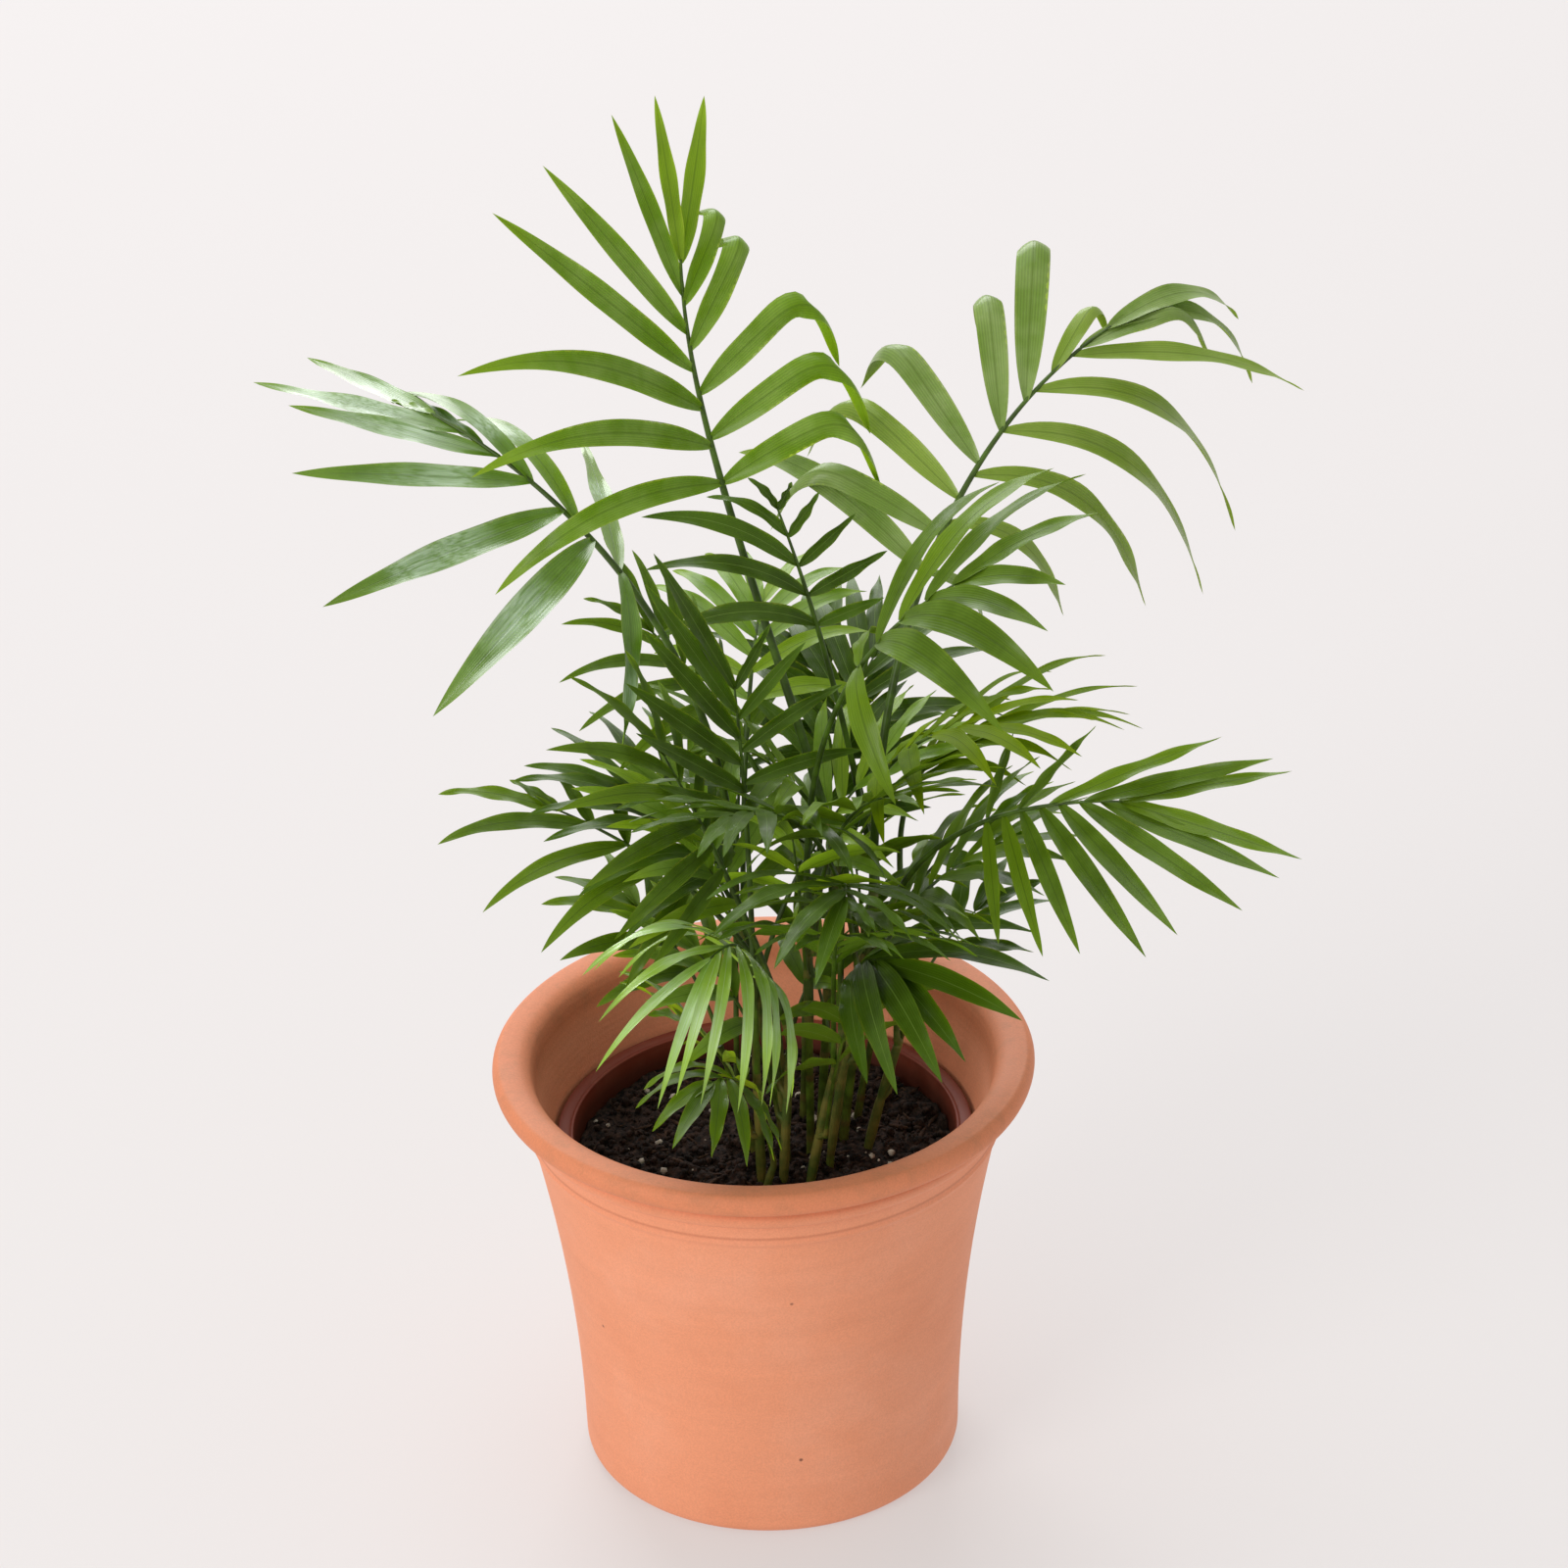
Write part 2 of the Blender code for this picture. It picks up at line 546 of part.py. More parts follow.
def build_nursery_pot():
    """The thin plastic pot, with its flat turned-out rim and its drain holes."""
    bottom = POT_FLOOR + GAP
    neck = NURSERY_TOP - 0.006
    profile = [
        (0.0, bottom),
        (NURSERY_FOOT_RADIUS - 0.002, bottom),
        (nursery_radius(bottom + 0.002), bottom + 0.002),
        (nursery_radius(neck), neck),
        (NURSERY_RIM_RADIUS, neck + 0.0005),
        (NURSERY_RIM_RADIUS, NURSERY_TOP - 0.0006),
        (NURSERY_RIM_RADIUS - 0.0008, NURSERY_TOP),
        (NURSERY_RIM_RADIUS - NURSERY_RIM_WIDTH + 0.0006, NURSERY_TOP),
        (NURSERY_RIM_RADIUS - NURSERY_RIM_WIDTH, NURSERY_TOP - 0.0008),
        (nursery_radius(neck) - NURSERY_WALL, neck - 0.004),
        (nursery_radius(bottom + NURSERY_WALL) - NURSERY_WALL, bottom + NURSERY_WALL),
        (0.0, bottom + NURSERY_WALL),
    ]
    pot = turned("nursery_pot", profile, NURSERY_SIDES)
    for index in range(DRAIN_HOLES):
        angle = 2 * math.pi * index / DRAIN_HOLES
        bpy.ops.mesh.primitive_cylinder_add(
            vertices=10, radius=DRAIN_RADIUS, depth=0.012,
            location=(DRAIN_CIRCLE * math.cos(angle), DRAIN_CIRCLE * math.sin(angle), bottom))
        cutter = bpy.context.object
        cutter.name = f"drain_cutter_{index + 1}"
        cutter.hide_render = True
        cutter.display_type = "WIRE"
        cut = pot.modifiers.new(cutter.name, "BOOLEAN")
        cut.operation = "DIFFERENCE"
        cut.object = cutter
    return pot


def build_soil():
    """The compost that fills the nursery pot, a little below its rim and dished at the edge."""
    bottom = POT_FLOOR + NURSERY_WALL + 2 * GAP
    low = nursery_radius(bottom) - NURSERY_WALL - 2 * GAP
    high = nursery_radius(SOIL_TOP) - NURSERY_WALL - 2 * GAP
    profile = [(0.0, bottom), (low - 0.001, bottom), (low, bottom + 0.002), (high, SOIL_TOP - 0.002),
               (high - 0.004, SOIL_TOP), (0.0, SOIL_TOP)]
    return turned("soil", profile, NURSERY_SIDES)


def finish(thing, name, colour, roughness):
    """Give an object its own plain material."""
    material = bpy.data.materials.new(name)
    material.use_nodes = True
    shader = material.node_tree.nodes["Principled BSDF"]
    shader.inputs["Base Color"].default_value = (*colour, 1.0)
    shader.inputs["Roughness"].default_value = roughness
    thing.data.materials.clear()
    thing.data.materials.append(material)


def clear_scene():
    for thing in list(bpy.data.objects):
        bpy.data.objects.remove(thing)


def main():
    clear_scene()
    finish(build_pot(), "terracotta", (0.74, 0.32, 0.20), 0.8)
    finish(build_nursery_pot(), "nursery_plastic", (0.20, 0.05, 0.035), 0.45)
    finish(build_soil(), "compost", (0.03, 0.022, 0.016), 0.95)
    stem_trees = []
    for letter, stem in STEMS.items():
        thing = build_stem(f"stem_{letter}", stem)
        stem_trees.append(BVHTree.FromObject(thing, bpy.context.evaluated_depsgraph_get()))
        finish(thing, f"stem_{letter}", (0.10, 0.20, 0.05), 0.5)
    for thing in build_fronds(list(SHOWN) + inner_fronds(), stem_trees):
        finish(thing, thing.name, (0.06, 0.20, 0.03), 0.4)


main()
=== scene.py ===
"""The looks of a potted parlour palm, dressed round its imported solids.

A flared terracotta pot holds a plastic nursery pot of compost. A clump of green canes grows out of
it, and each cane carries feathery fronds that arch out on all sides. The rule that lays out the
fronds is the one that the solids follow, carried on here to leaflets with a folded midrib, pleats
and a thin edge. Everything is in metres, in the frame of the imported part, with +Z up.
"""

import logging
import math
import random
from dataclasses import dataclass, field, replace
from enum import Enum

import bpy
import numpy as np
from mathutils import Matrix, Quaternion, Vector
from mathutils.bvhtree import BVHTree


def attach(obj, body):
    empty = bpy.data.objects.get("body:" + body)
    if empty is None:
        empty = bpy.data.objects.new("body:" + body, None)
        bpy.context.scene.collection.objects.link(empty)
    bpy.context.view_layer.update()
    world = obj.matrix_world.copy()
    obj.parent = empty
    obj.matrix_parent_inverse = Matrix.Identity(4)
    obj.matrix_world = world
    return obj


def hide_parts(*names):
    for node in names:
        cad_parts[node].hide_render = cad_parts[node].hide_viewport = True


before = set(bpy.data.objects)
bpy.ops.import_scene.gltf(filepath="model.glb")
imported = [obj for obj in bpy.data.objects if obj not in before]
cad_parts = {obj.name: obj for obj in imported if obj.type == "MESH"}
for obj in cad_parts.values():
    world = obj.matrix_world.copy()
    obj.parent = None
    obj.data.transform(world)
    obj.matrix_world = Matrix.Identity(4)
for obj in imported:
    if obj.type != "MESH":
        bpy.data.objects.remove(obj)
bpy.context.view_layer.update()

LOG = logging.getLogger("parlour_palm")

UP = np.array([0.0, 0.0, 1.0])
GAP = 0.0003                    # what the solids keep clear of one another
SOIL_TOP = 0.157
POT_HEIGHT = 0.2068
NURSERY_TOP = 0.170

Pair = tuple[float, float]
Path = tuple[np.ndarray, np.ndarray]        # a curve's points, and its direction at each
Hull = tuple[np.ndarray, list]              # a mesh's points and faces
Nodes = bpy.types.NodeTree
Socket = bpy.types.NodeSocket
UV_NAME = "along"
SHARP_FROM = 70                 # degrees between two faces, over which their edge is shaded sharp


def unit(vectors: np.ndarray) -> np.ndarray:
    """Scale each vector to length one."""
    return vectors / np.maximum(np.linalg.norm(vectors, axis=-1, keepdims=True), 1e-9)


def blend(pair: tuple, t: float | np.ndarray) -> float | np.ndarray:
    """Go from the pair's first value to its second as t goes from 0 to 1."""
    return pair[0] + (pair[1] - pair[0]) * t


def smooth_step(low: float, high: float, x: np.ndarray) -> np.ndarray:
    """Rise from 0 at low to 1 at high: t squared times (3 less 2t)."""
    t = np.clip((x - low) / (high - low), 0.0, 1.0)
    return t * t * (3 - 2 * t)


def value_noise(x: np.ndarray, y: np.ndarray, cell: float, seed: int) -> np.ndarray:
    """Random heights on a square lattice, joined by smooth steps between lattice points.

    Args:
        x, y: where the height is wanted, in metres.
        cell: lattice spacing in metres.
        seed: picks the lattice's random heights.

    Returns:
        Heights from -1 to 1, in the shape of x.
    """
    size = 61
    table = np.random.default_rng(seed).uniform(-1, 1, (size, size))
    column, row = np.floor(x / cell).astype(int), np.floor(y / cell).astype(int)
    s, t = smooth_step(0, 1, x / cell - column), smooth_step(0, 1, y / cell - row)
    left, right, low, high = column % size, (column + 1) % size, row % size, (row + 1) % size
    near = blend((table[left, low], table[right, low]), s)
    far = blend((table[left, high], table[right, high]), s)
    return blend((near, far), t)


@dataclass
class Shell:
    """A closed surface as arrays: its points, and quads and triangles with a texture place at
    each corner and a material slot for each face."""

    points: np.ndarray
    quads: np.ndarray
    tris: np.ndarray
    quad_uv: np.ndarray
    tri_uv: np.ndarray
    quad_slots: np.ndarray
    tri_slots: np.ndarray

    @staticmethod
    def of_rings(rings: np.ndarray, uv: np.ndarray, start: np.ndarray, end: np.ndarray,
                 slots: np.ndarray | None = None) -> "Shell":
        """Skin a row of rings with quads, and close each end with a fan round one point.

        Args:
            rings: (stations, around, 3) points, each ring going round the same way.
            uv: (stations, around + 1, 2) places, whose last column ends the way round.
            start, end: the middle points of the two end fans.
            slots: material slot of each strip that runs along the rings, or none for all 0.

        Returns:
            The closed shell, with its faces pointing out.
        """
        stations, around = rings.shape[:2]
        index = np.arange(stations * around).reshape(stations, around)
        following = np.roll(index, -1, axis=1)
        quads = np.stack([index[:-1], following[:-1], following[1:], index[1:]], axis=-1)
        quad_uv = np.stack([uv[:-1, :-1], uv[:-1, 1:], uv[1:, 1:], uv[1:, :-1]], axis=2)
        first = np.full(around, stations * around)
        tris = np.vstack([np.stack([first, following[0], index[0]], axis=-1),
                          np.stack([first + 1, index[-1], following[-1]], axis=-1)])
        tri_uv = np.concatenate([
            np.stack([(uv[0, :-1] + uv[0, 1:]) / 2, uv[0, 1:], uv[0, :-1]], axis=1),
            np.stack([(uv[-1, :-1] + uv[-1, 1:]) / 2, uv[-1, :-1], uv[-1, 1:]], axis=1)])
        strip = np.zeros(around, int) if slots is None else slots
        shell = Shell(np.vstack([rings.reshape(-1, 3), start, end]), quads.reshape(-1, 4), tris,
                      quad_uv.reshape(-1, 4, 2), tri_uv, np.tile(strip, stations - 1), np.tile(strip, 2))
        return shell.facing_out()

    @staticmethod
    def joined(shells: list["Shell"]) -> "Shell":
        """Put several shells into one, with their points numbered on.

        Args:
            shells: the closed shells.

        Returns:
            One shell of all their points and faces.
        """
        starts = np.cumsum([0] + [len(shell.points) for shell in shells[:-1]])
        return Shell(
            np.vstack([shell.points for shell in shells]),
            np.vstack([shell.quads + start for shell, start in zip(shells, starts)]),
            np.vstack([shell.tris + start for shell, start in zip(shells, starts)]),
            np.concatenate([shell.quad_uv for shell in shells]),
            np.concatenate([shell.tri_uv for shell in shells]),
            np.concatenate([shell.quad_slots for shell in shells]),
            np.concatenate([shell.tri_slots for shell in shells]))

    def volume(self) -> float:
        """Sum the tetrahedra from the middle of the shell to each of its triangles, each a sixth of
        the corners' triple product.

        Returns:
            The volume, which is positive if the faces point out.
        """
        faces = np.vstack([self.quads[:, :3], self.quads[:, [0, 2, 3]], self.tris])
        corners = self.points[faces] - self.points.mean(axis=0)
        return float(np.sum(corners[:, 0] * np.cross(corners[:, 1], corners[:, 2]))) / 6

    def facing_out(self) -> "Shell":
        """Turn every face round if the shell is inside out.

        Returns:
            The shell, or its turned copy.
        """
        if self.volume() >= 0:
            return self
        return replace(self, quads=self.quads[:, ::-1], tris=self.tris[:, ::-1],
                       quad_uv=self.quad_uv[:, ::-1], tri_uv=self.tri_uv[:, ::-1])

    def piece(self, name: str, materials: list, slot: str, nodes: tuple = ()) -> bpy.types.Object:
        """Make the shell an object that rides on the root.

        Args:
            name: the piece's name.
            materials: Blender materials, one for each slot number in the shell.
            slot: a material slot's name; not used.
            nodes: names of the CAD nodes that the piece stands for.

        Returns:
            The new object, at the origin.
        """
        mesh = bpy.data.meshes.new(name)
        mesh.vertices.add(len(self.points))
        mesh.vertices.foreach_set("co", self.points.astype(np.float32).ravel())
        corners = np.concatenate([self.quads.ravel(), self.tris.ravel()])
        mesh.loops.add(len(corners))
        mesh.loops.foreach_set("vertex_index", corners.astype(np.int32))
        starts = np.concatenate([np.arange(len(self.quads)) * 4,
                                 len(self.quads) * 4 + np.arange(len(self.tris)) * 3])
        mesh.polygons.add(len(starts))
        mesh.polygons.foreach_set("loop_start", starts.astype(np.int32))
        mesh.polygons.foreach_set(
            "material_index", np.concatenate([self.quad_slots, self.tri_slots]).astype(np.int32))
        places = mesh.uv_layers.new(name=UV_NAME)
        places.uv.foreach_set("vector", np.concatenate(
            [self.quad_uv.reshape(-1, 2), self.tri_uv.reshape(-1, 2)]).astype(np.float32).ravel())
        mesh.update(calc_edges=True)
        mesh.shade_smooth()
        mesh.set_sharp_from_angle(angle=math.radians(SHARP_FROM))
        for material in materials:
            mesh.materials.append(material)
        thing = bpy.data.objects.new(name, mesh)
        bpy.context.scene.collection.objects.link(thing)
        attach(thing, "root")
        if nodes:
            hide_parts(*nodes)
        LOG.info("%s: %d points, %d faces", name, len(self.points), len(starts))
        return thing


def tube(points: np.ndarray, directions: np.ndarray, radii: np.ndarray, sides: int,
         across: np.ndarray | None = None) -> Shell:
    """Carry a circle along a path: each ring is centre + radius (cos a across + sin a other).

    Args:
        points, directions: the path.
        radii: one radius for each point.
        sides: points in each ring.
        across: direction in which a ring's first point lies, or none to pick one.

    Returns:
        A closed tube. Its texture place is the share of the way round, then along.
    """
    if across is None:
        across = unit(np.cross(directions, np.array([0.31, 0.95, 0.05])))
    other = np.cross(directions, across)
    angle = np.linspace(0, 2 * math.pi, sides + 1)
    ring = np.cos(angle)[None, :, None] * across[:, None] + np.sin(angle)[None, :, None] * other[:, None]
    rings = points[:, None] + ring[:, :-1] * np.asarray(radii)[:, None, None]
    steps = np.linalg.norm(np.diff(points, axis=0), axis=1)
    along = np.append(0.0, np.cumsum(steps))
    uv = np.stack(np.broadcast_arrays(angle[None, :] / (2 * math.pi), along[:, None]), axis=-1)
    return Shell.of_rings(rings, uv, points[0], points[-1])


def turned_rings(profile: np.ndarray, sides: int) -> tuple[np.ndarray, np.ndarray]:
    """Turn (radius, height) points round the vertical axis.

    Args:
        profile: (n, 2) points, none on the axis.
        sides: points round each ring.

    Returns:
        The rings, and their texture places: share of the way round, then length of the profile.
    """
    angle = np.linspace(0, 2 * math.pi, sides + 1)
    rings = np.stack([profile[:, :1] * np.cos(angle[:-1]), profile[:, :1] * np.sin(angle[:-1]),
                      np.broadcast_to(profile[:, 1:], (len(profile), sides))], axis=-1)
    along = np.append(0.0, np.cumsum(np.linalg.norm(np.diff(profile, axis=0), axis=1)))
    return rings, np.stack(np.broadcast_arrays(angle[None, :] / (2 * math.pi), along[:, None]), axis=-1)


def arc(centre: Pair, radius: float, first: float, last: float, steps: int) -> np.ndarray:
    """Points on a circle from one angle in degrees to another."""
    angle = np.radians(np.linspace(first, last, steps))
    return np.stack([centre[0] + radius * np.cos(angle), centre[1] + radius * np.sin(angle)], axis=-1)


def rounded(corners: np.ndarray, steps: int) -> np.ndarray:
    """Run a Catmull-Rom curve through the given points, so that it has no corner in it.

    Args:
        corners: (n, 2) points to go through.
        steps: how many points each stretch gets.

    Returns:
        ((n - 1) * steps + 1, 2) points.
    """
    padded = np.vstack([2 * corners[0] - corners[1], corners, 2 * corners[-1] - corners[-2]])[:, None]
    before, here, there, after = padded[:-3], padded[1:-2], padded[2:-1], padded[3:]
    t = (np.arange(steps) / steps)[None, :, None]
    curve = 0.5 * (2 * here + (there - before) * t + (2 * before - 5 * here + 4 * there - after) * t ** 2
                   + (3 * here - before - 3 * there + after) * t ** 3)
    return np.vstack([curve.reshape(-1, 2), corners[-1]])


def linear(code: str) -> tuple[float, float, float, float]:
    """Turn an sRGB hex colour into linear red, green, blue and alpha."""
    channels = [int(code[place:place + 2], 16) / 255 for place in (1, 3, 5)]
    return (*(c / 12.92 if c <= 0.04045 else ((c + 0.055) / 1.055) ** 2.4 for c in channels), 1.0)


def mixed(first: str, second: str, share: float) -> str:
    """Mix two hex colours.

    Args:
        first, second: the colours.
        share: how far the mix goes from the first to the second.

    Returns:
        The mix as a hex colour.
    """
    channels = [blend((int(first[place:place + 2], 16), int(second[place:place + 2], 16)), share)
                for place in (1, 3, 5)]
    return "#" + "".join(f"{round(channel):02X}" for channel in channels)


def feed(tree: Nodes, node: bpy.types.Node, sockets: dict) -> None:
    """Set a node's inputs.

    Args:
        tree: the tree that the node is in.
        node: the node.
        sockets: input name or number to a value, or to the output that feeds it.
    """
    for socket, value in sockets.items():
        if isinstance(value, bpy.types.NodeSocket):
            tree.links.new(value, node.inputs[socket])
        else:
            node.inputs[socket].default_value = value


def add(tree: Nodes, kind: str, sockets: dict | None = None, out: str | int = 0,
        **settings: object) -> bpy.types.NodeSocket:
    """Add one node to a tree, with its settings and links.

    Args:
        tree: the node tree.
        kind: the node's type, without its leading ShaderNode.
        sockets: input name or number to a value, or to the output that feeds it.
        out: name or number of the output that is wanted.
        settings: the node's own properties.

    Returns:
        That output.
    """
    node = tree.nodes.new("ShaderNode" + kind)
    for name, value in settings.items():
        setattr(node, name, value)
    feed(tree, node, sockets or {})
    return node.outputs[out]


def per_mm(size: float) -> float:
    """The texture scale, in features a metre, of features this many millimetres wide."""
    return 1000.0 / size


def wave_per_mm(period: float) -> float:
    """The Wave texture's scale for bands this many millimetres apart: it runs 20 radians a unit."""
    return per_mm(period) * 2 * math.pi / 20


class Finish:
    """What a surface is made of. Each finish lays its own nodes, and its fields are its colours,
    the sizes of its patterns in millimetres, and its gloss."""

    name: str

    def lay(self, tree: Nodes) -> dict:
        """Add the finish's nodes to a tree, and give what feeds each socket of the shader."""
        raise NotImplementedError

    def material(self) -> bpy.types.Material:
        """Build the node material.

        Returns:
            The material, with one Principled shader.
        """
        made = bpy.data.materials.new(self.name)
        made.use_nodes = True
        shader = made.node_tree.nodes["Principled BSDF"]
        feed(made.node_tree, shader, self.lay(made.node_tree))
        return made


@dataclass(frozen=True)
class TerracottaClay(Finish):
    """Fired terracotta, pressed and turned, not glazed: a dry, even salmon orange with cloudy pale
    bloom, faint turning lines, a browner lip that hands and water have stained, and odd dark pits."""

    name: str = "fired_terracotta"
    body: str = "#EC9A73"
    clay_bloom_and_leaf_painted_sheen: str = "#F2A988"
    deep: str = "#E28B62"
    lip: str = "#DA845A"
    stain: str = "#8A6B4A"
    pit: str = "#3B241A"
    groove: str = "#A85A3A"
    cloud_mm: float = 75.0
    # groove: painted shade, laid in the creases of the mouldings under the lip
    smear_mm: float = 14.0
    pits_apart_mm: float = 26.0
    streak_mm: float = 9.0
    grit_mm: float = 0.9
    turning_mm: float = 3.2
    lip_from: float = 0.1885        # height where the browner lip starts
    lip_full: float = 0.1990        # height where it is all brown
    # heights of the grooves, and how far their painted shade reaches
    painted_shade_grooves: tuple[Pair, ...] = ((0.1980, 0.0012), (0.1878, 0.0013), (0.1795, 0.0012))
    outside_from: float = 0.1075    # distance from the axis beyond which the painted shade of the grooves lies

    def lay(self, tree: Nodes) -> dict:
        """Lay the tints over the body one after another, with painted shade in the grooves, then streaks,
        grit and relief.

        Args:
            tree: the material's node tree.

        Returns:
            What feeds each socket of the shader.
        """
        place = add(tree, "TexCoord", out="Object")
        height = add(tree, "SeparateXYZ", {0: place}, "Z")
        cloud = add(tree, "TexNoise", {"Vector": place, "Scale": per_mm(self.cloud_mm), "Detail": 5.0,
                                       "Roughness": 0.62})
        clay_bloom_and_leaf_painted_sheen = add(tree, "MapRange", {"Value": cloud, "From Min": 0.50, "From Max": 0.72, "To Max": 0.5})
        deep = add(tree, "MapRange", {"Value": cloud, "From Min": 0.46, "From Max": 0.28, "To Max": 0.4})
        at_lip = add(tree, "MapRange", {"Value": height, "From Min": self.lip_from,
                                        "From Max": self.lip_full, "To Max": 0.85})
        smear = add(tree, "TexNoise", {"Vector": place, "Scale": per_mm(self.smear_mm), "Detail": 6.0,
                                       "Roughness": 0.7})
        smear = add(tree, "MapRange", {"Value": smear, "From Min": 0.50, "From Max": 0.74,
                                       "To Max": 0.32})
        smear = add(tree, "Math", {0: smear, 1: at_lip}, operation="MULTIPLY")
        pits = add(tree, "TexVoronoi", {"Vector": place, "Scale": per_mm(self.pits_apart_mm)})
        pits = add(tree, "MapRange", {"Value": pits, "From Min": 0.052, "From Max": 0.030, "To Max": 0.8})
        level = add(tree, "VectorMath", {0: place, 1: (1.0, 1.0, 0.0)}, operation="MULTIPLY")
        from_axis = add(tree, "VectorMath", {0: level}, "Value", operation="LENGTH")
        outside = add(tree, "Math", {0: from_axis, 1: self.outside_from}, operation="GREATER_THAN")
        tints = [(clay_bloom_and_leaf_painted_sheen, self.clay_bloom_and_leaf_painted_sheen), (deep, self.deep), (at_lip, self.lip), (smear, self.stain)]
        # painted shade: a darker band along each groove, on the outside of the pot only
        for middle, reach in self.painted_shade_grooves:
            off = add(tree, "Math", {0: height, 1: middle}, operation="SUBTRACT")
            off = add(tree, "Math", {0: off}, operation="ABSOLUTE")
            shaded = add(tree, "MapRange", {"Value": off, "From Min": reach, "From Max": 0.0,
                                            "To Max": 0.45})
            shaded = add(tree, "Math", {0: shaded, 1: outside}, operation="MULTIPLY")
            tints.append((shaded, self.groove))
        colour = linear(self.body)
        for share, tint in [*tints, (pits, self.pit)]:
            colour = add(tree, "Mix", {0: share, 6: colour, 7: linear(tint)}, 2, data_type="RGBA")
        drawn = add(tree, "VectorMath", {0: place, 1: (0.10, 0.10, 1.0)}, operation="MULTIPLY")
        streak = add(tree, "TexNoise", {"Vector": drawn, "Scale": per_mm(self.streak_mm), "Detail": 4.0,
                                        "Roughness": 0.6})
        streak = add(tree, "MapRange", {"Value": streak, "From Min": 0.30, "From Max": 0.70,
                                        "To Min": 0.97, "To Max": 1.03})
        grit = add(tree, "TexNoise", {"Vector": place, "Scale": per_mm(self.grit_mm), "Detail": 3.0,
                                      "Roughness": 0.65})
        speckled = add(tree, "MapRange", {"Value": grit, "From Min": 0.35, "From Max": 0.65,
                                          "To Min": 0.93, "To Max": 1.05})
        for factor in (streak, speckled):
            colour = add(tree, "Mix", {0: 1.0, 6: colour, 7: factor}, 2, data_type="RGBA",
                         blend_type="MULTIPLY")
        turning = add(tree, "TexWave", {"Vector": place, "Scale": wave_per_mm(self.turning_mm),
                                        "Distortion": 2.5, "Detail": 2.0, "Detail Scale": 0.6},
                      "Fac", bands_direction="Z")
        relief = {}
        for source, strength, depth, sunk in ((turning, 0.10, 0.0003, False), (grit, 0.28, 0.0003, False),
                                              (pits, 0.6, 0.0006, True)):
            relief = {"Normal": add(tree, "Bump", {"Height": source, "Strength": strength,
                                                   "Distance": depth, **relief}, invert=sunk)}
        rough = add(tree, "MapRange", {"Value": cloud, "To Min": 0.72, "To Max": 0.56})
        return {"Base Color": colour, "Roughness": rough, "IOR": 1.5, "Specular IOR Level": 0.45,
                **relief}


@dataclass(frozen=True)
class MouldedPolypropylene(Finish):
    """Injection-moulded polypropylene, pigmented red-brown and thin: a satin skin with a fine
    moulded grain, dulled in patches by dried water and compost dust."""

    name: str = "moulded_polypropylene"
    skin: str = "#7C3826"
    dust: str = "#8C5440"
    near_compost_tint: str = "#3A1D14"
    patch_mm: float = 22.0
    grain_mm: float = 0.6
    darker_near_compost: Pair = (0.010, 0.003)  # heights above the compost where the darker colour starts and is full

    def lay(self, tree: Nodes) -> dict:
        """Lay dust in patches, and a darker colour low on the wall near the compost, over the skin.

        Args:
            tree: the material's node tree.

        Returns:
            What feeds each socket of the shader.
        """
        place = add(tree, "TexCoord", out="Object")
        height = add(tree, "SeparateXYZ", {0: place}, "Z")
        patch = add(tree, "TexNoise", {"Vector": place, "Scale": per_mm(self.patch_mm), "Detail": 5.0,
                                       "Roughness": 0.65})
        dusty = add(tree, "MapRange", {"Value": patch, "From Min": 0.48, "From Max": 0.72, "To Max": 0.6})
        # darker low on the wall, towards the compost
        low = add(tree, "MapRange", {"Value": height, "From Min": SOIL_TOP + self.darker_near_compost[0],
                                     "From Max": SOIL_TOP + self.darker_near_compost[1], "To Max": 0.6})
        colour = linear(self.skin)
        for share, tint in ((dusty, self.dust), (low, self.near_compost_tint)):
            colour = add(tree, "Mix", {0: share, 6: colour, 7: linear(tint)}, 2, data_type="RGBA")
        grain = add(tree, "TexNoise", {"Vector": place, "Scale": per_mm(self.grain_mm), "Detail": 2.0})
        bump = add(tree, "Bump", {"Height": grain, "Strength": 0.12, "Distance": 0.0002})
        rough = add(tree, "MapRange", {"Value": patch, "To Min": 0.44, "To Max": 0.68})
        return {"Base Color": colour, "Normal": bump, "Roughness": rough, "IOR": 1.49,
                "Specular IOR Level": 0.3}


@dataclass(frozen=True)
class Crumbly(Finish):
    """A loose, rough, dull material made of grains, such as peat compost, bark or perlite."""

    name: str
    dark: str
    light: str
    grain_mm: float
    roughness: float = 0.95
    relief: float = 0.6

    def lay(self, tree: Nodes) -> dict:
        """Lay two colours, dealt out by clumps of three grains, with relief from the grains.

        Args:
            tree: the material's node tree.

        Returns:
            What feeds each socket of the shader.
        """
        place = add(tree, "TexCoord", out="Object")
        grains = add(tree, "TexVoronoi", {"Vector": place, "Scale": per_mm(self.grain_mm)}, "Distance")
        clump = add(tree, "TexNoise", {"Vector": place, "Scale": per_mm(self.grain_mm * 3.0),
                                       "Detail": 6.0, "Roughness": 0.75})
        share = add(tree, "MapRange", {"Value": clump, "From Min": 0.42, "From Max": 0.68})
        colour = add(tree, "Mix", {0: share, 6: linear(self.dark), 7: linear(self.light)}, 2,
                     data_type="RGBA")
        bump = add(tree, "Bump", {"Height": grains, "Strength": self.relief,
                                  "Distance": self.grain_mm / 2500})
        return {"Base Color": colour, "Normal": bump, "Roughness": self.roughness,
                "Specular IOR Level": 0.25}


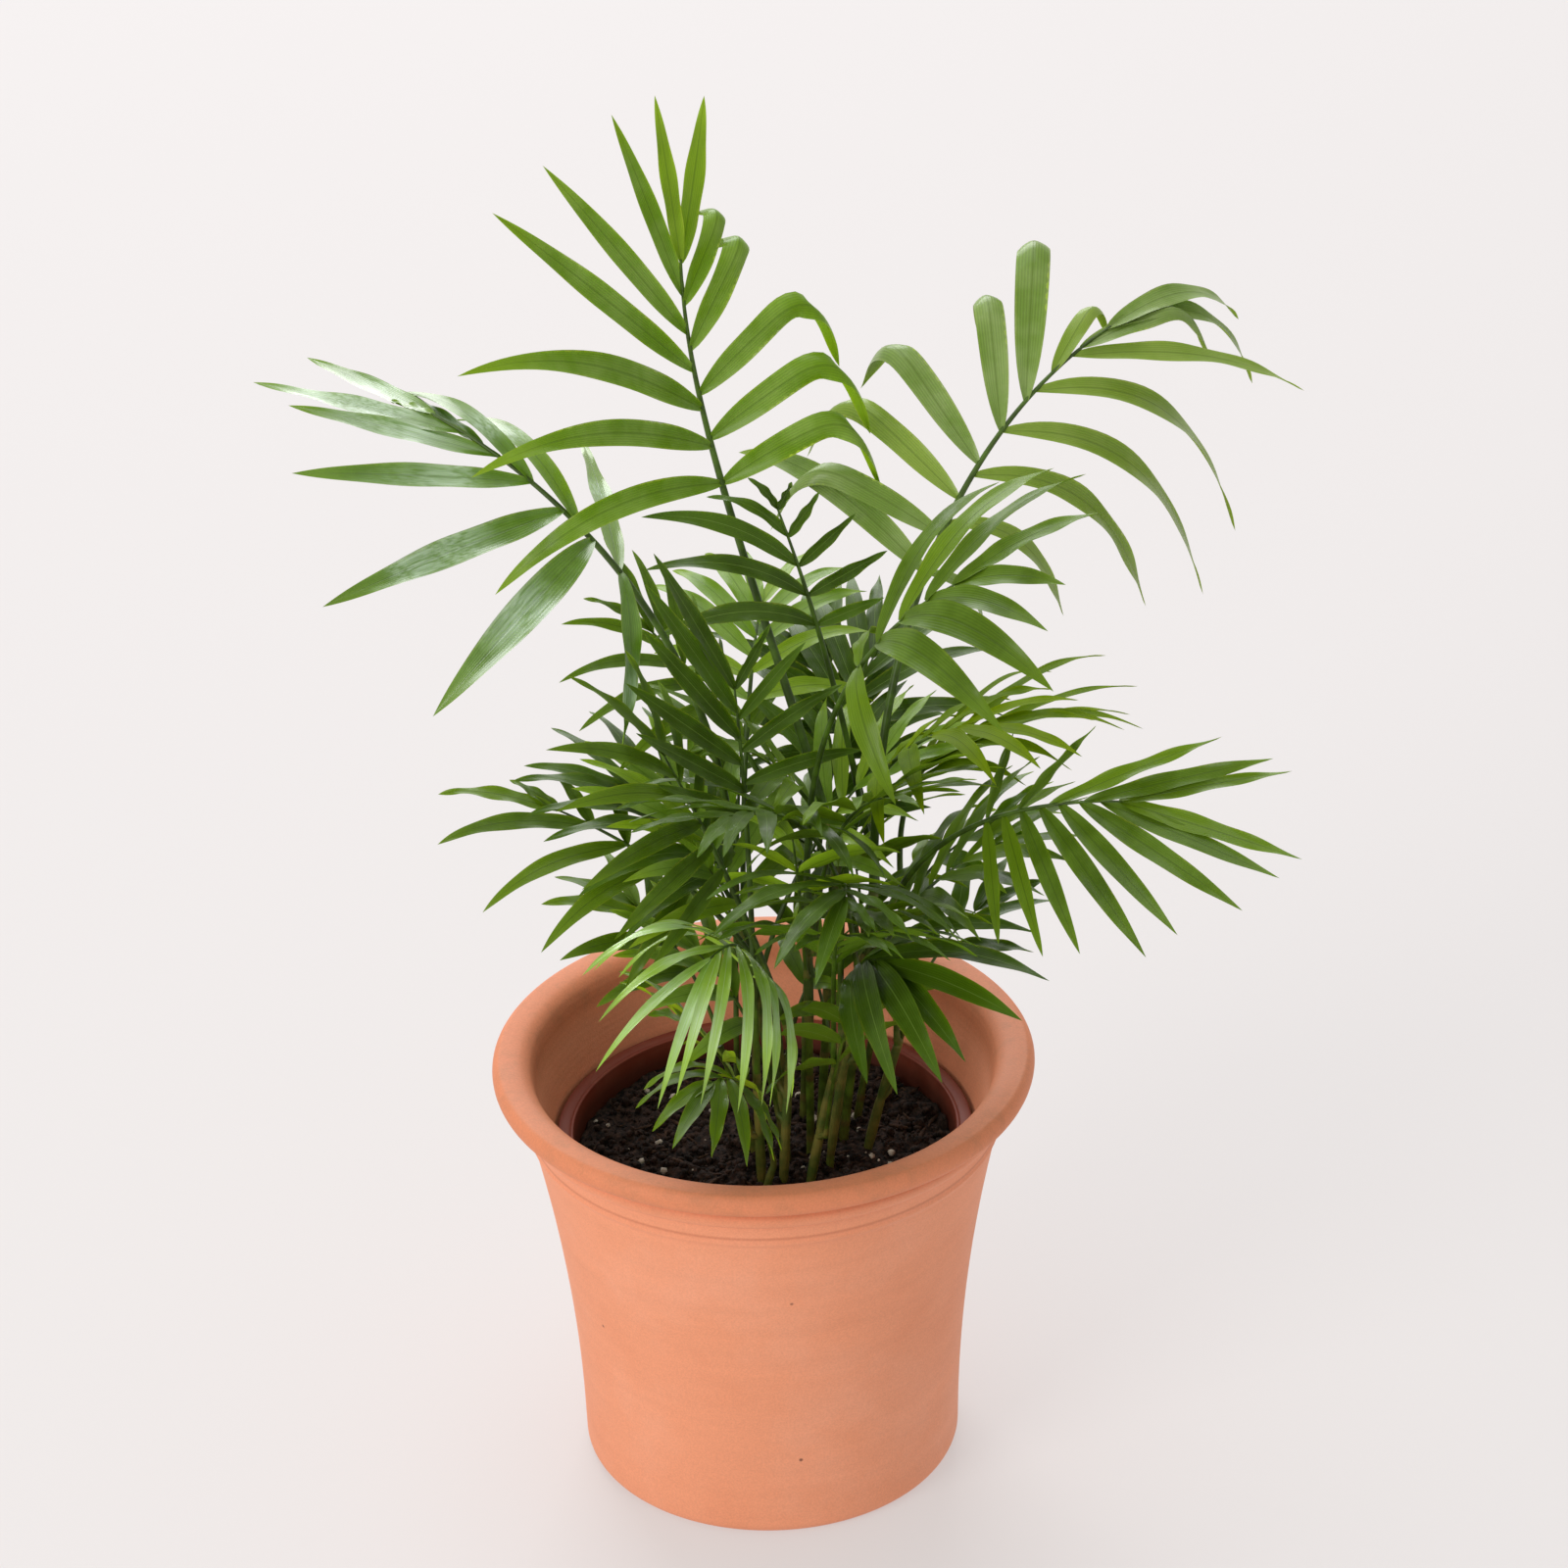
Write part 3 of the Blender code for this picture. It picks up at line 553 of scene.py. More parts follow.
@dataclass(frozen=True)
class LeafTissue(Finish):
    """One side of a living palm leaflet: a waxy skin over fine parallel veins, with a fold along
    the midrib. It gives a satin green, cloudy from place to place and yellower towards the tip."""

    name: str
    green: str
    cloud: str
    midrib: str
    tip: str
    roughness: float
    wax: float
    clay_bloom_and_leaf_painted_sheen: float = 0.0              # share of painted sheen, a whiter patch standing in for a highlight, at its whitest
    painted_sheen_tint: str = "#C6DCC0"
    veins: int = 11
    glow: float = 0.12
    cloud_mm: float = 24.0
    drift_mm: float = 70.0

    def lay(self, tree: Nodes) -> dict:
        """Lay clouds, veins, midrib, tip and painted sheen. Their pattern follows the leaflet on its own
        UV map, where x runs across and y along.

        Args:
            tree: the material's node tree.

        Returns:
            What feeds each socket of the shader.
        """
        place = add(tree, "TexCoord", out="Object")
        across = add(tree, "SeparateXYZ", {0: add(tree, "UVMap", uv_map=UV_NAME)}, "X")
        along = across.node.outputs["Y"]
        cloud = add(tree, "TexNoise", {"Vector": place, "Scale": per_mm(self.cloud_mm), "Detail": 3.0,
                                       "Roughness": 0.6})
        cloudy = add(tree, "MapRange", {"Value": cloud, "From Min": 0.40, "From Max": 0.66,
                                        "To Max": 0.8})
        colour = add(tree, "Mix", {0: cloudy, 6: linear(self.green), 7: linear(self.cloud)}, 2,
                     data_type="RGBA")
        vein = add(tree, "Math", {0: across, 1: 2 * math.pi * self.veins}, operation="MULTIPLY")
        vein = add(tree, "Math", {0: vein}, operation="COSINE")
        striped = add(tree, "MapRange", {"Value": vein, "From Min": -1.0, "To Min": 1.08, "To Max": 0.88})
        colour = add(tree, "Mix", {0: 1.0, 6: colour, 7: striped}, 2, data_type="RGBA",
                     blend_type="MULTIPLY")
        aside = add(tree, "Math", {0: across, 1: 0.5}, operation="SUBTRACT")
        aside = add(tree, "Math", {0: aside}, operation="ABSOLUTE")
        middle = add(tree, "MapRange", {"Value": aside, "From Min": 0.030, "From Max": 0.010,
                                        "To Max": 0.6})
        ending = add(tree, "MapRange", {"Value": along, "From Min": 0.72, "From Max": 1.0, "To Max": 0.7})
        tints = [(middle, self.midrib), (ending, self.tip)]
        # painted sheen: a whiter patch in the leaflet's middle stands in for a highlight
        if self.clay_bloom_and_leaf_painted_sheen:
            tints.append((self.painted_sheen_share(tree, place, across, along), self.painted_sheen_tint))
        for share, tint in tints:
            colour = add(tree, "Mix", {0: share, 6: colour, 7: linear(tint)}, 2, data_type="RGBA")
        bump = add(tree, "Bump", {"Height": vein, "Strength": 0.22, "Distance": 0.00012})
        bump = add(tree, "Bump", {"Height": middle, "Strength": 0.3, "Distance": 0.0003, "Normal": bump},
                   invert=True)
        rough = add(tree, "MapRange", {"Value": cloud, "To Min": self.roughness - 0.08,
                                       "To Max": self.roughness + 0.08})
        return {"Base Color": colour, "Normal": bump, "Roughness": rough, "IOR": 1.40,
                "Specular IOR Level": 0.05 + 0.45 * self.wax, "Coat Weight": self.wax,
                "Coat Roughness": 0.22, "Subsurface Weight": self.glow,
                "Subsurface Radius": (0.7, 1.0, 0.25), "Subsurface Scale": 0.0012}

    def painted_sheen_share(self, tree: Nodes, place: Socket, across: Socket, along: Socket) -> Socket:
        """Add the painted sheen, a whiter patch that stands in for a highlight: a white middle that
        drifts from leaflet to leaflet, in streaks that are drawn out along the veins.

        Args:
            tree: the material's node tree.
            place: Object coordinates.
            across, along: the place on the leaflet.

        Returns:
            The share of painted sheen.
        """
        drift = add(tree, "TexNoise", {"Vector": place, "Scale": per_mm(self.drift_mm), "Detail": 0.0})
        aside = add(tree, "Math", {0: along, 1: drift}, operation="SUBTRACT")
        aside = add(tree, "Math", {0: aside}, operation="ABSOLUTE")
        sheen_at_middle = add(tree, "MapRange", {"Value": aside, "From Min": 0.26, "From Max": 0.0,
                                           "To Max": self.clay_bloom_and_leaf_painted_sheen}, interpolation_type="SMOOTHSTEP")
        parts = [add(tree, "Math", {0: part, 1: stretch}, operation="MULTIPLY")
                 for part, stretch in ((across, 9.0), (along, 2.0), (drift, 40.0))]
        drawn = add(tree, "CombineXYZ", dict(enumerate(parts)))
        streak = add(tree, "TexNoise", {"Vector": drawn, "Scale": 1.0, "Detail": 3.0})
        streaky = add(tree, "MapRange", {"Value": streak, "From Min": 0.34, "From Max": 0.62,
                                         "To Min": 0.25})
        return add(tree, "Math", {0: sheen_at_middle, 1: streaky}, operation="MULTIPLY")


@dataclass(frozen=True)
class GreenCane(Finish):
    """The smooth rind of a palm cane or rib: green, finely ribbed along its length and, on a cane,
    browned at the rings that old leaves left and near the compost."""

    name: str
    rind: str
    light: str
    roughness: float = 0.42
    scar: str = "#5E4E28"
    ring_mm: float = 0.0            # from ring to ring, or none
    browned: float = 0.030          # height above the compost up to which a cane is browned
    patch_mm: float = 9.0
    ribs: int = 9                   # round the cane

    def lay(self, tree: Nodes) -> dict:
        """Lay two greens in patches, then the rings. Their pattern follows the cane on its own UV
        map, where x runs round and y along in metres.

        Args:
            tree: the material's node tree.

        Returns:
            What feeds each socket of the shader.
        """
        place = add(tree, "TexCoord", out="Object")
        around = add(tree, "SeparateXYZ", {0: add(tree, "UVMap", uv_map=UV_NAME)}, "X")
        patch = add(tree, "TexNoise", {"Vector": place, "Scale": per_mm(self.patch_mm), "Detail": 4.0})
        share = add(tree, "MapRange", {"Value": patch, "From Min": 0.40, "From Max": 0.64})
        tints = [(share, self.light)]
        if self.ring_mm:
            phase = add(tree, "Math", {0: around.node.outputs["Y"], 1: per_mm(self.ring_mm)},
                        operation="MULTIPLY")
            phase = add(tree, "Math", {0: phase}, operation="FRACT")
            phase = add(tree, "Math", {0: phase, 1: 0.5}, operation="SUBTRACT")
            phase = add(tree, "Math", {0: phase}, operation="ABSOLUTE")
            scarred = add(tree, "MapRange", {"Value": phase, "From Min": 0.07, "From Max": 0.02,
                                             "To Max": 0.6})
            height = add(tree, "SeparateXYZ", {0: place}, "Z")
            low = add(tree, "MapRange", {"Value": height, "From Min": SOIL_TOP + self.browned,
                                         "From Max": SOIL_TOP, "To Max": 0.5})
            tints += [(scarred, self.scar), (low, self.scar)]
        colour = linear(self.rind)
        for share, tint in tints:
            colour = add(tree, "Mix", {0: share, 6: colour, 7: linear(tint)}, 2, data_type="RGBA")
        ribbed = add(tree, "Math", {0: around, 1: 2 * math.pi * self.ribs}, operation="MULTIPLY")
        ribbed = add(tree, "Math", {0: ribbed}, operation="SINE")
        bump = add(tree, "Bump", {"Height": ribbed, "Strength": 0.15, "Distance": 0.0002})
        return {"Base Color": colour, "Normal": bump, "Roughness": self.roughness, "IOR": 1.45}


@dataclass(frozen=True)
class LitSheet(Finish):
    """White translucent sheet on the studio's floor, lit from below, so that shadows stay pale."""

    name: str = "lit_studio_sheet"
    tint: str = "#9E9B9A"
    lit: str = "#FFFBFA"
    strength: float = 0.44

    def lay(self, tree: Nodes) -> dict:
        """Give the plain sheet's values; it needs no nodes of its own."""
        return {"Base Color": linear(self.tint), "Emission Color": linear(self.lit),
                "Emission Strength": self.strength, "Roughness": 0.95, "Specular IOR Level": 0.1}


def pot_radius(height: float | np.ndarray) -> float | np.ndarray:
    """The outside of the terracotta wall: it flares with the square of the height."""
    return 0.0885 + 0.0275 * (height / POT_HEIGHT) ** 2


@dataclass
class TerracottaPot:
    """The outer pot: a flared wall with a moulded ridge under a thick, rolled lip."""

    wall: float = 0.0085
    floor: float = 0.012
    foot_round: float = 0.007
    lip_radius: float = 0.125
    lip_bead: float = 0.0062
    bead_drop: float = 0.0012
    mouldings: tuple[Pair, ...] = ((0.1742, 0.0000), (0.1765, 0.0010), (0.1790, 0.0000),
                                   (0.1845, -0.0004), (0.1874, -0.0003), (0.1885, 0.0022),
                                   (0.1908, 0.0032), (0.1938, 0.0026))  # heights, and rises off the wall
    crease: Pair = (0.1130, 0.1977)
    under_lip: Pair = (0.1166, 0.1990)
    over_lip: tuple[Pair, ...] = ((0.1165, 0.0042), (0.1118, 0.0032), (0.1082, 0.0006),
                                  (0.1063, -0.0036))  # radii, and heights over the pot's nominal top
    throat: Pair = (0.1050, 0.1965)
    sides: int = 220
    wobble: float = 0.00025

    def profile(self) -> np.ndarray:
        """Draw the outline that is turned, from the underside round the foot and over the lip to
        the floor inside.

        Returns:
            (n, 2) radii and heights.
        """
        foot = arc((pot_radius(0) - self.foot_round, self.foot_round), self.foot_round, -90, 0, 10)
        wall_heights = np.linspace(0.012, 0.1715, 30)
        wall = np.stack([pot_radius(wall_heights), wall_heights], axis=-1)
        heights, rises = np.array(self.mouldings).T
        neck = np.stack([pot_radius(heights) + rises, heights], axis=-1)
        neck = rounded(np.vstack([wall[-1], neck, self.crease, self.under_lip]), 5)[1:]
        bead = arc((self.lip_radius - self.lip_bead, POT_HEIGHT - self.bead_drop), self.lip_bead,
                   -75, 62, 16)
        over = [(radius, POT_HEIGHT + rise) for radius, rise in self.over_lip]
        top = rounded(np.array([bead[-1], *over, self.throat]), 6)[1:]
        inner_heights = np.linspace(0.186, 0.024, 16)
        inside = np.stack([pot_radius(inner_heights) - self.wall, inner_heights], axis=-1)
        floor_radius = pot_radius(0) - self.wall
        floor = np.array([(floor_radius - 0.006, self.floor + 0.002), (floor_radius - 0.014, self.floor)])
        return np.vstack([foot, wall, neck, bead, top, inside, floor])

    def build(self) -> Shell:
        """Turn the outline, and let the radius wander a little, as turned clay does: by three
        sines, of twice, three times and seven times the angle, that shift with the height.

        Returns:
            The pot's closed wall.
        """
        rings, uv = turned_rings(self.profile(), self.sides)
        angle = np.arctan2(rings[..., 1], rings[..., 0])
        height = rings[..., 2]
        wander = np.sin(2 * angle + 0.7) + 0.6 * np.sin(3 * angle - 1.1 + 9 * height)
        wander += 0.35 * np.sin(7 * angle + 31 * height)
        lifted = smooth_step(0.0, 0.02, height)
        rings[..., :2] *= (1 + self.wobble * wander * lifted / 0.11)[..., None]
        return Shell.of_rings(rings, uv, np.zeros(3), np.array([0.0, 0.0, self.floor]))

    def dress(self) -> None:
        """Put the pot into the scene."""
        self.build().piece("terracotta_pot_turned", [TerracottaClay().material()], "terracotta",
                           ("terracotta_pot",))


@dataclass
class NurseryPot:
    """The thin inner pot, with its flat turned-out rim, and the drain holes in its floor."""

    bottom: float = 0.0123
    rim_radius: float = 0.0965
    rim_width: float = 0.0075
    foot_radius: float = 0.068
    wall: float = 0.0016
    sides: int = 160
    holes: int = 6
    hole_radius: float = 0.0045
    hole_circle: float = 0.045
    drilled: Pair = (0.008, 0.018)  # heights that the drill goes between
    lip_round: float = 0.0009       # of the rim's outer edge
    edge_round: float = 0.0006      # of its inner edge

    def radius(self, height: float) -> float:
        """The outside of the straight tapered wall."""
        share = (height - 0.012) / (NURSERY_TOP - 0.012)
        return blend((self.foot_radius, self.rim_radius - self.rim_width + 0.003), share)

    def profile(self) -> np.ndarray:
        """Draw the outline that is turned, from the underside up, over the rim and down inside.

        Returns:
            (n, 2) radii and heights.
        """
        neck = NURSERY_TOP - 0.006
        inner_rim = self.rim_radius - self.rim_width
        outer_heights = np.linspace(self.bottom + 0.002, neck, 8)
        inner_heights = np.linspace(neck - 0.004, self.bottom + self.wall, 8)
        skirt = np.array([(self.rim_radius - 0.0004, neck + 0.0003), (self.rim_radius, neck + 0.0009)])
        roll = arc((self.rim_radius - self.lip_round, NURSERY_TOP - self.lip_round), self.lip_round,
                   0, 90, 5)
        groove = np.array([(inner_rim + 0.0022, NURSERY_TOP), (inner_rim + 0.0017, NURSERY_TOP - 0.0004),
                           (inner_rim + 0.0012, NURSERY_TOP)])
        edge = arc((inner_rim + self.edge_round, NURSERY_TOP - self.edge_round), self.edge_round,
                   90, 180, 4)
        return np.vstack([
            [(self.foot_radius - 0.004, self.bottom), (self.foot_radius - 0.002, self.bottom)],
            np.stack([self.radius(outer_heights), outer_heights], axis=-1), skirt, roll, groove, edge,
            np.stack([self.radius(inner_heights) - self.wall, inner_heights], axis=-1),
            [(self.foot_radius - 0.006, self.bottom + self.wall)]])

    def dress(self) -> None:
        """Turn the pot, drill its holes and put it into the scene."""
        rings, uv = turned_rings(self.profile(), self.sides)
        shell = Shell.of_rings(rings, uv, np.array([0, 0, self.bottom]),
                               np.array([0, 0, self.bottom + self.wall]))
        pot = shell.piece("nursery_pot_moulded", [MouldedPolypropylene().material()], "nursery_plastic",
                          ("nursery_pot",))
        drills = []
        for angle in np.arange(self.holes) * 2 * math.pi / self.holes:
            at = self.hole_circle * np.array([math.cos(angle), math.sin(angle), 0.0])
            ends = at + np.outer(self.drilled, UP)
            drills.append(tube(ends, np.tile(UP, (2, 1)), np.full(2, self.hole_radius), 16))
        cutter = Shell.joined(drills).piece("drain_drill", [], "nursery_plastic")
        cut = pot.modifiers.new("drain_holes", "BOOLEAN")
        cut.operation = "DIFFERENCE"
        cut.object = cutter
        finished = pot.evaluated_get(bpy.context.evaluated_depsgraph_get())
        drilled = bpy.data.meshes.new_from_object(finished)
        pot.modifiers.clear()
        pot.data = drilled
        bpy.data.objects.remove(cutter)


@dataclass
class CompostBed:
    """The moist compost, with loose crumbs, slivers of bark and white perlite grains on it."""

    bottom: float = 0.0142
    radius: float = 0.0876
    heaped: float = 0.0032
    sides: int = 260
    rings: int = 96
    crumbs: int = 2600
    slivers: int = 320
    perlite: int = 90
    seed: int = 11
    lumps: tuple[Pair, ...] = ((0.0020, 0.0130), (0.0018, 0.0056), (0.0011, 0.0025))  # height, spacing
    mound: tuple[float, float, float, float] = (0.02, -0.008, 0.0030, 0.045)  # x, y, height, reach

    def height(self, x: np.ndarray, y: np.ndarray) -> np.ndarray:
        """Height of the surface: lumps of three sizes, low at the pot's wall, with a bell-shaped
        mound round the canes.

        Args:
            x, y: where it is wanted.

        Returns:
            Heights in the shape of x.
        """
        lumps = sum(rise * value_noise(x, y, spacing, self.seed + place)
                    for place, (rise, spacing) in enumerate(self.lumps))
        away = np.hypot(x, y) / self.radius
        middle_x, middle_y, top, reach = self.mound
        mound = top * np.exp(-((x - middle_x) ** 2 + (y - middle_y) ** 2) / reach ** 2)
        return SOIL_TOP - 0.0016 + self.heaped + lumps + mound - 0.002 * smooth_step(0.88, 1.0, away)

    def surface(self) -> Shell:
        """Make the filling: a rough top disc, the wall inside the pot and a flat bottom.

        Returns:
            The closed shell.
        """
        reach = self.radius * np.linspace(0.012, 1.0, self.rings)
        profile = np.vstack([np.stack([reach, np.full_like(reach, SOIL_TOP)], axis=-1),
                             [(self.radius - 0.0010, 0.120), (0.0705, self.bottom + 0.016),
                              (0.0640, self.bottom)]])
        rings, uv = turned_rings(profile, self.sides)
        top = rings[:self.rings]
        top[..., 2] = self.height(top[..., 0], top[..., 1])
        middle = np.array([0, 0, float(self.height(np.zeros(1), np.zeros(1))[0])])
        return Shell.of_rings(rings, uv, middle, np.array([0, 0, self.bottom]))

    def scattered(self, count: int, sizes: Pair, shape: tuple, seed: int, sunk: float = 0.35) -> Shell:
        """Lay small lumps on the surface.

        Each lump is an eight-sided ball of four rings, with its radius shaken, stretched by the
        given shape and turned about three random axes.

        Args:
            count: how many lumps.
            sizes: smallest and largest radius in metres.
            shape: stretch along the lump's own three axes.
            seed: picks the places and turns.
            sunk: how much of its height a lump sinks in.

        Returns:
            All lumps in one shell.
        """
        chance = np.random.default_rng(seed)
        polar = np.radians([35.0, 75.0, 110.0, 150.0])[:, None]
        angle = np.arange(8) * math.pi / 4
        ball = np.stack([np.sin(polar) * np.cos(angle), np.sin(polar) * np.sin(angle),
                         np.broadcast_to(np.cos(polar), (4, 8))], axis=-1)
        shaken = ball[None] * chance.uniform(0.72, 1.18, (count, 4, 8, 1)) * np.array(shape)
        ends = np.array([[0, 0, 1.0], [0, 0, -1.0]]) * np.array(shape) * 0.9
        turns = unit(chance.normal(size=(count, 3, 3)))
        first = turns[:, 0]
        second = unit(turns[:, 1] - np.sum(turns[:, 1] * first, axis=1, keepdims=True) * first)
        axes = np.stack([first, second, np.cross(first, second)], axis=1)
        if shape[0] > 2:            # a sliver lies nearly level
            axes[:, 0] = unit(axes[:, 0] * np.array([1, 1, 0.15]))
            axes[:, 1] = unit(np.cross(UP, axes[:, 0]))
            axes[:, 2] = np.cross(axes[:, 0], axes[:, 1])
        size = blend(sizes, chance.random(count) ** 2.2)
        away = (self.radius - 0.004) * np.sqrt(chance.random(count))
        heading = chance.uniform(0, 2 * math.pi, count)
        x, y = away * np.cos(heading), away * np.sin(heading)
        places = np.stack([x, y, self.height(x, y) + size * (1 - 2 * sunk) * min(shape)], axis=-1)
        lumps = np.einsum("nijk,nkl->nijl", shaken, axes) * size[:, None, None, None]
        lumps = lumps + places[:, None, None]
        tips = np.einsum("jk,nkl->njl", ends, axes) * size[:, None, None] + places[:, None]
        uv = np.zeros((4, 9, 2))
        return Shell.joined([Shell.of_rings(lump, uv, tip[0], tip[1]) for lump, tip in zip(lumps, tips)])

    def dress(self) -> None:
        """Put the compost and what lies on it into the scene."""
        peat = Crumbly("moist_peat", "#0C0806", "#48342A", 1.1).material()
        self.surface().piece("compost_surface", [peat], "compost", ("soil",))
        self.scattered(self.crumbs, (0.0006, 0.0030), (1.0, 0.85, 0.7), 3).piece(
            "compost_crumbs", [peat], "compost")
        bark = Crumbly("shredded_bark", "#2A1A11", "#523A28", 0.9).material()
        self.scattered(self.slivers, (0.0005, 0.0013), (5.0, 0.9, 0.6), 5, 0.1).piece(
            "bark_slivers", [bark], "compost")
        perlite = Crumbly("expanded_perlite", "#9A8F80", "#D2C8BA", 0.5, 0.9, 0.4).material()
        self.scattered(self.perlite, (0.0005, 0.0026), (1.0, 0.9, 0.8), 9, 0.40).piece(
            "perlite_grains", [perlite], "compost")


LEAF_WIDTH_RATIO = 0.085        # leaflet width for each unit of its length
LEAF_WIDTH_BASE = 0.0035
LEAF_THICKNESS_RATIO = 0.014    # depth of the hull that keeps leaflets apart
LEAF_LEAST_DEPTH = 0.0009
LEAF_LEAST_HALF_WIDTH = 0.0008
LEAF_CLEARANCE = 0.0007
LONG_LEAF = 0.085
LEAF_STEPS = 30
RIB_CLEARANCE = 0.0004
RIB_STEPS = 60
RIB_SIDES = 3

# What is tried in turn until a leaflet clears its neighbours: degrees of lift, degrees of spread
# and a share of its length. Below them, the degrees that a rib is turned by, for the same reason.
SHIFTS = ((0, 0, 1.0), (9, 0, 1.0), (-9, 0, 1.0), (0, 8, 0.95), (0, -8, 0.95), (18, 0, 0.9),
          (-18, 0, 0.9), (12, 10, 0.8), (-12, -10, 0.8), (26, 0, 0.7), (-26, 0, 0.7), (0, 14, 0.6),
          (0, -14, 0.6))
TURNS = tuple(turn * sign for turn in range(0, 180, 12) for sign in (1, -1))


# How chance changes a leaflet: degrees, shares of its length and of its droop, degrees of twist
# and metres of wave at its edge. Then how its place on the row does, in shares of the row's values.
ANGLE_CHANCE = (-3, 3)
LENGTH_CHANCE = (0.95, 1.05)
DROOP_CHANCE = (0.85, 1.15)
TWIST_CHANCE = (-22, 22)
WAVE_CHANCE = (0.0002, 0.0008)
MIDDLE_LONGER = 0.25
TIP_STIFFER = 0.6

# Powers near the base and near the tip, and the product's peak, of the solids' leaflets and of the
# fine ones. Then the share of its twist that a folded leaflet keeps, and how far it is arched.
PLAIN_OUTLINE = (0.8, 0.75, 0.348)
FINE_OUTLINE = (0.62, 0.95, 0.355)
FOLDED_TWIST = 0.4
FOLDED_ARCHING = 0.65


class Tone(Enum):
    """How a frond's leaflets look, by their age and by how they take the light."""

    MATT = "matt"
    PALE = "pale"
    GLOSSY = "glossy"
    DARK = "dark"
    SHADE = "shade"
    FRESH = "fresh"
    YELLOW = "yellow"


@dataclass(frozen=True)
class ToneColours:
    """A tone's colours, gloss, material slot and painted sheen. The underside takes all but the
    first green, the wax and the painted sheen."""

    green: str
    cloud: str
    midrib: str
    tip: str
    under: str
    roughness: float
    wax: float
    slot: str = "leaf_green"
    clay_bloom_and_leaf_painted_sheen: float = 0.0


# A tone's fifth colour is its underside's green: paler and yellower, partly the leaf's own paler
# underside and partly painted light shining through the leaflet.
TONES = {
    Tone.MATT: ToneColours("#678A10", "#82A042", "#4C6A0E", "#86A414", "#8CB022", 0.42, 0.22),
    Tone.PALE: ToneColours("#6E8A36", "#8AA05C", "#546C1C", "#86A02C", "#8EAC34", 0.44, 0.30),
    # the last number of the glossy and fresh tones is their painted sheen
    Tone.GLOSSY: ToneColours("#567A10", "#6C9030", "#44620B", "#769814", "#789E22", 0.30, 0.70,
                             "leaf_dark", 0.62),
    Tone.DARK: ToneColours("#3C540A", "#4E6A1A", "#6E8A38", "#50700E", "#5A7818", 0.40, 0.22,
                           "leaf_dark"),
    Tone.SHADE: ToneColours("#486209", "#5C7820", "#384E07", "#6A8810", "#6C8A1A", 0.42, 0.18),
    Tone.FRESH: ToneColours("#94BC46", "#B2D67C", "#C4E098", "#98BE32", "#A4CA50", 0.24, 0.80,
                            "leaf_bright", 0.45),
    Tone.YELLOW: ToneColours("#526C02", "#647E04", "#485E04", "#7E9606", "#7E960A", 0.55, 0.00,
                             "leaf_yellow"),
}
YOUNGER = 0.55                  # how far a younger leaflet's colour goes towards its tip's
OLDER_SHARE = 0.7               # of a frond's leaflets
UNDER_DULLER = 0.12             # how much rougher an underside is


class Habit(Enum):
    """How a leaflet goes from its base to its tip."""

    ARCHED = "a"
    EASY = "e"
    STRAIGHT = "s"
    HANGING = "h"
    FOLDED = "f"
    BENT_BACK = "b"

    def fall(self, u: np.ndarray, droop: float, curl: float) -> np.ndarray:
        """How much of the downward direction is mixed in at each place along a leaflet.

        An arched leaflet takes droop times u to the power curl, an easy one three tenths of it, a
        straight one an eighth and a hanging one half as much again, sooner. A folded one drops
        beyond its middle, and one that is bent back goes over behind itself there.

        Args:
            u: places along the leaflet, from 0 to 1.
            droop: how far its weight bends it.
            curl: over 1, it bends mostly near its end.

        Returns:
            The amounts, in the shape of u.
        """
        if self is Habit.FOLDED:
            return 0.10 * droop * u + 2.6 * smooth_step(0.42, 0.92, u)
        if self is Habit.BENT_BACK:
            return 3.6 * smooth_step(0.36, 0.78, u)
        factor, power = {Habit.ARCHED: (1.0, 1.0), Habit.EASY: (0.3, 1.0), Habit.STRAIGHT: (0.12, 1.0),
                         Habit.HANGING: (1.5, 0.85)}[self]
        return factor * droop * u ** (power * curl)


# How far the direction that a leaflet falls in leans to the back of its frond's face.
SAG_OFF_FACE = {Habit.FOLDED: 0.25, Habit.BENT_BACK: 1.3}
USUAL_SAG_OFF_FACE = 0.8


@dataclass(frozen=True)
class LeafRow:
    """The leaflets along one side of a frond, from its base to its tip."""

    count: int
    spread: Pair                    # degrees from the rib, at the base and at the tip
    lift: float                     # degrees raised out of the frond's plane
    length: Pair                    # at the base and at the tip
    droop: float                    # how far the weight of a leaflet bends its end
    width: float = 0.8              # of the width that the solids give
    habits: str = ""                # a Habit's letter for each leaflet
    tenths: tuple[float, ...] = ()  # of the row's length, for each leaflet
    swings: tuple[float, ...] = ()  # degrees that each leaflet swings off the row's spread

    def habit(self, index: int) -> Habit:
        """The habit of the leaflet at this place from the base."""
        return Habit(self.habits[index]) if index < len(self.habits) else Habit.ARCHED

    def share(self, index: int) -> float:
        """How much of the row's length the leaflet at this place has."""
        return self.tenths[index] / 10 if index < len(self.tenths) else 1.0

    def swing(self, index: int) -> float:
        """How far the leaflet at this place swings off the row's spread, in degrees."""
        return self.swings[index] if index < len(self.swings) else 0.0


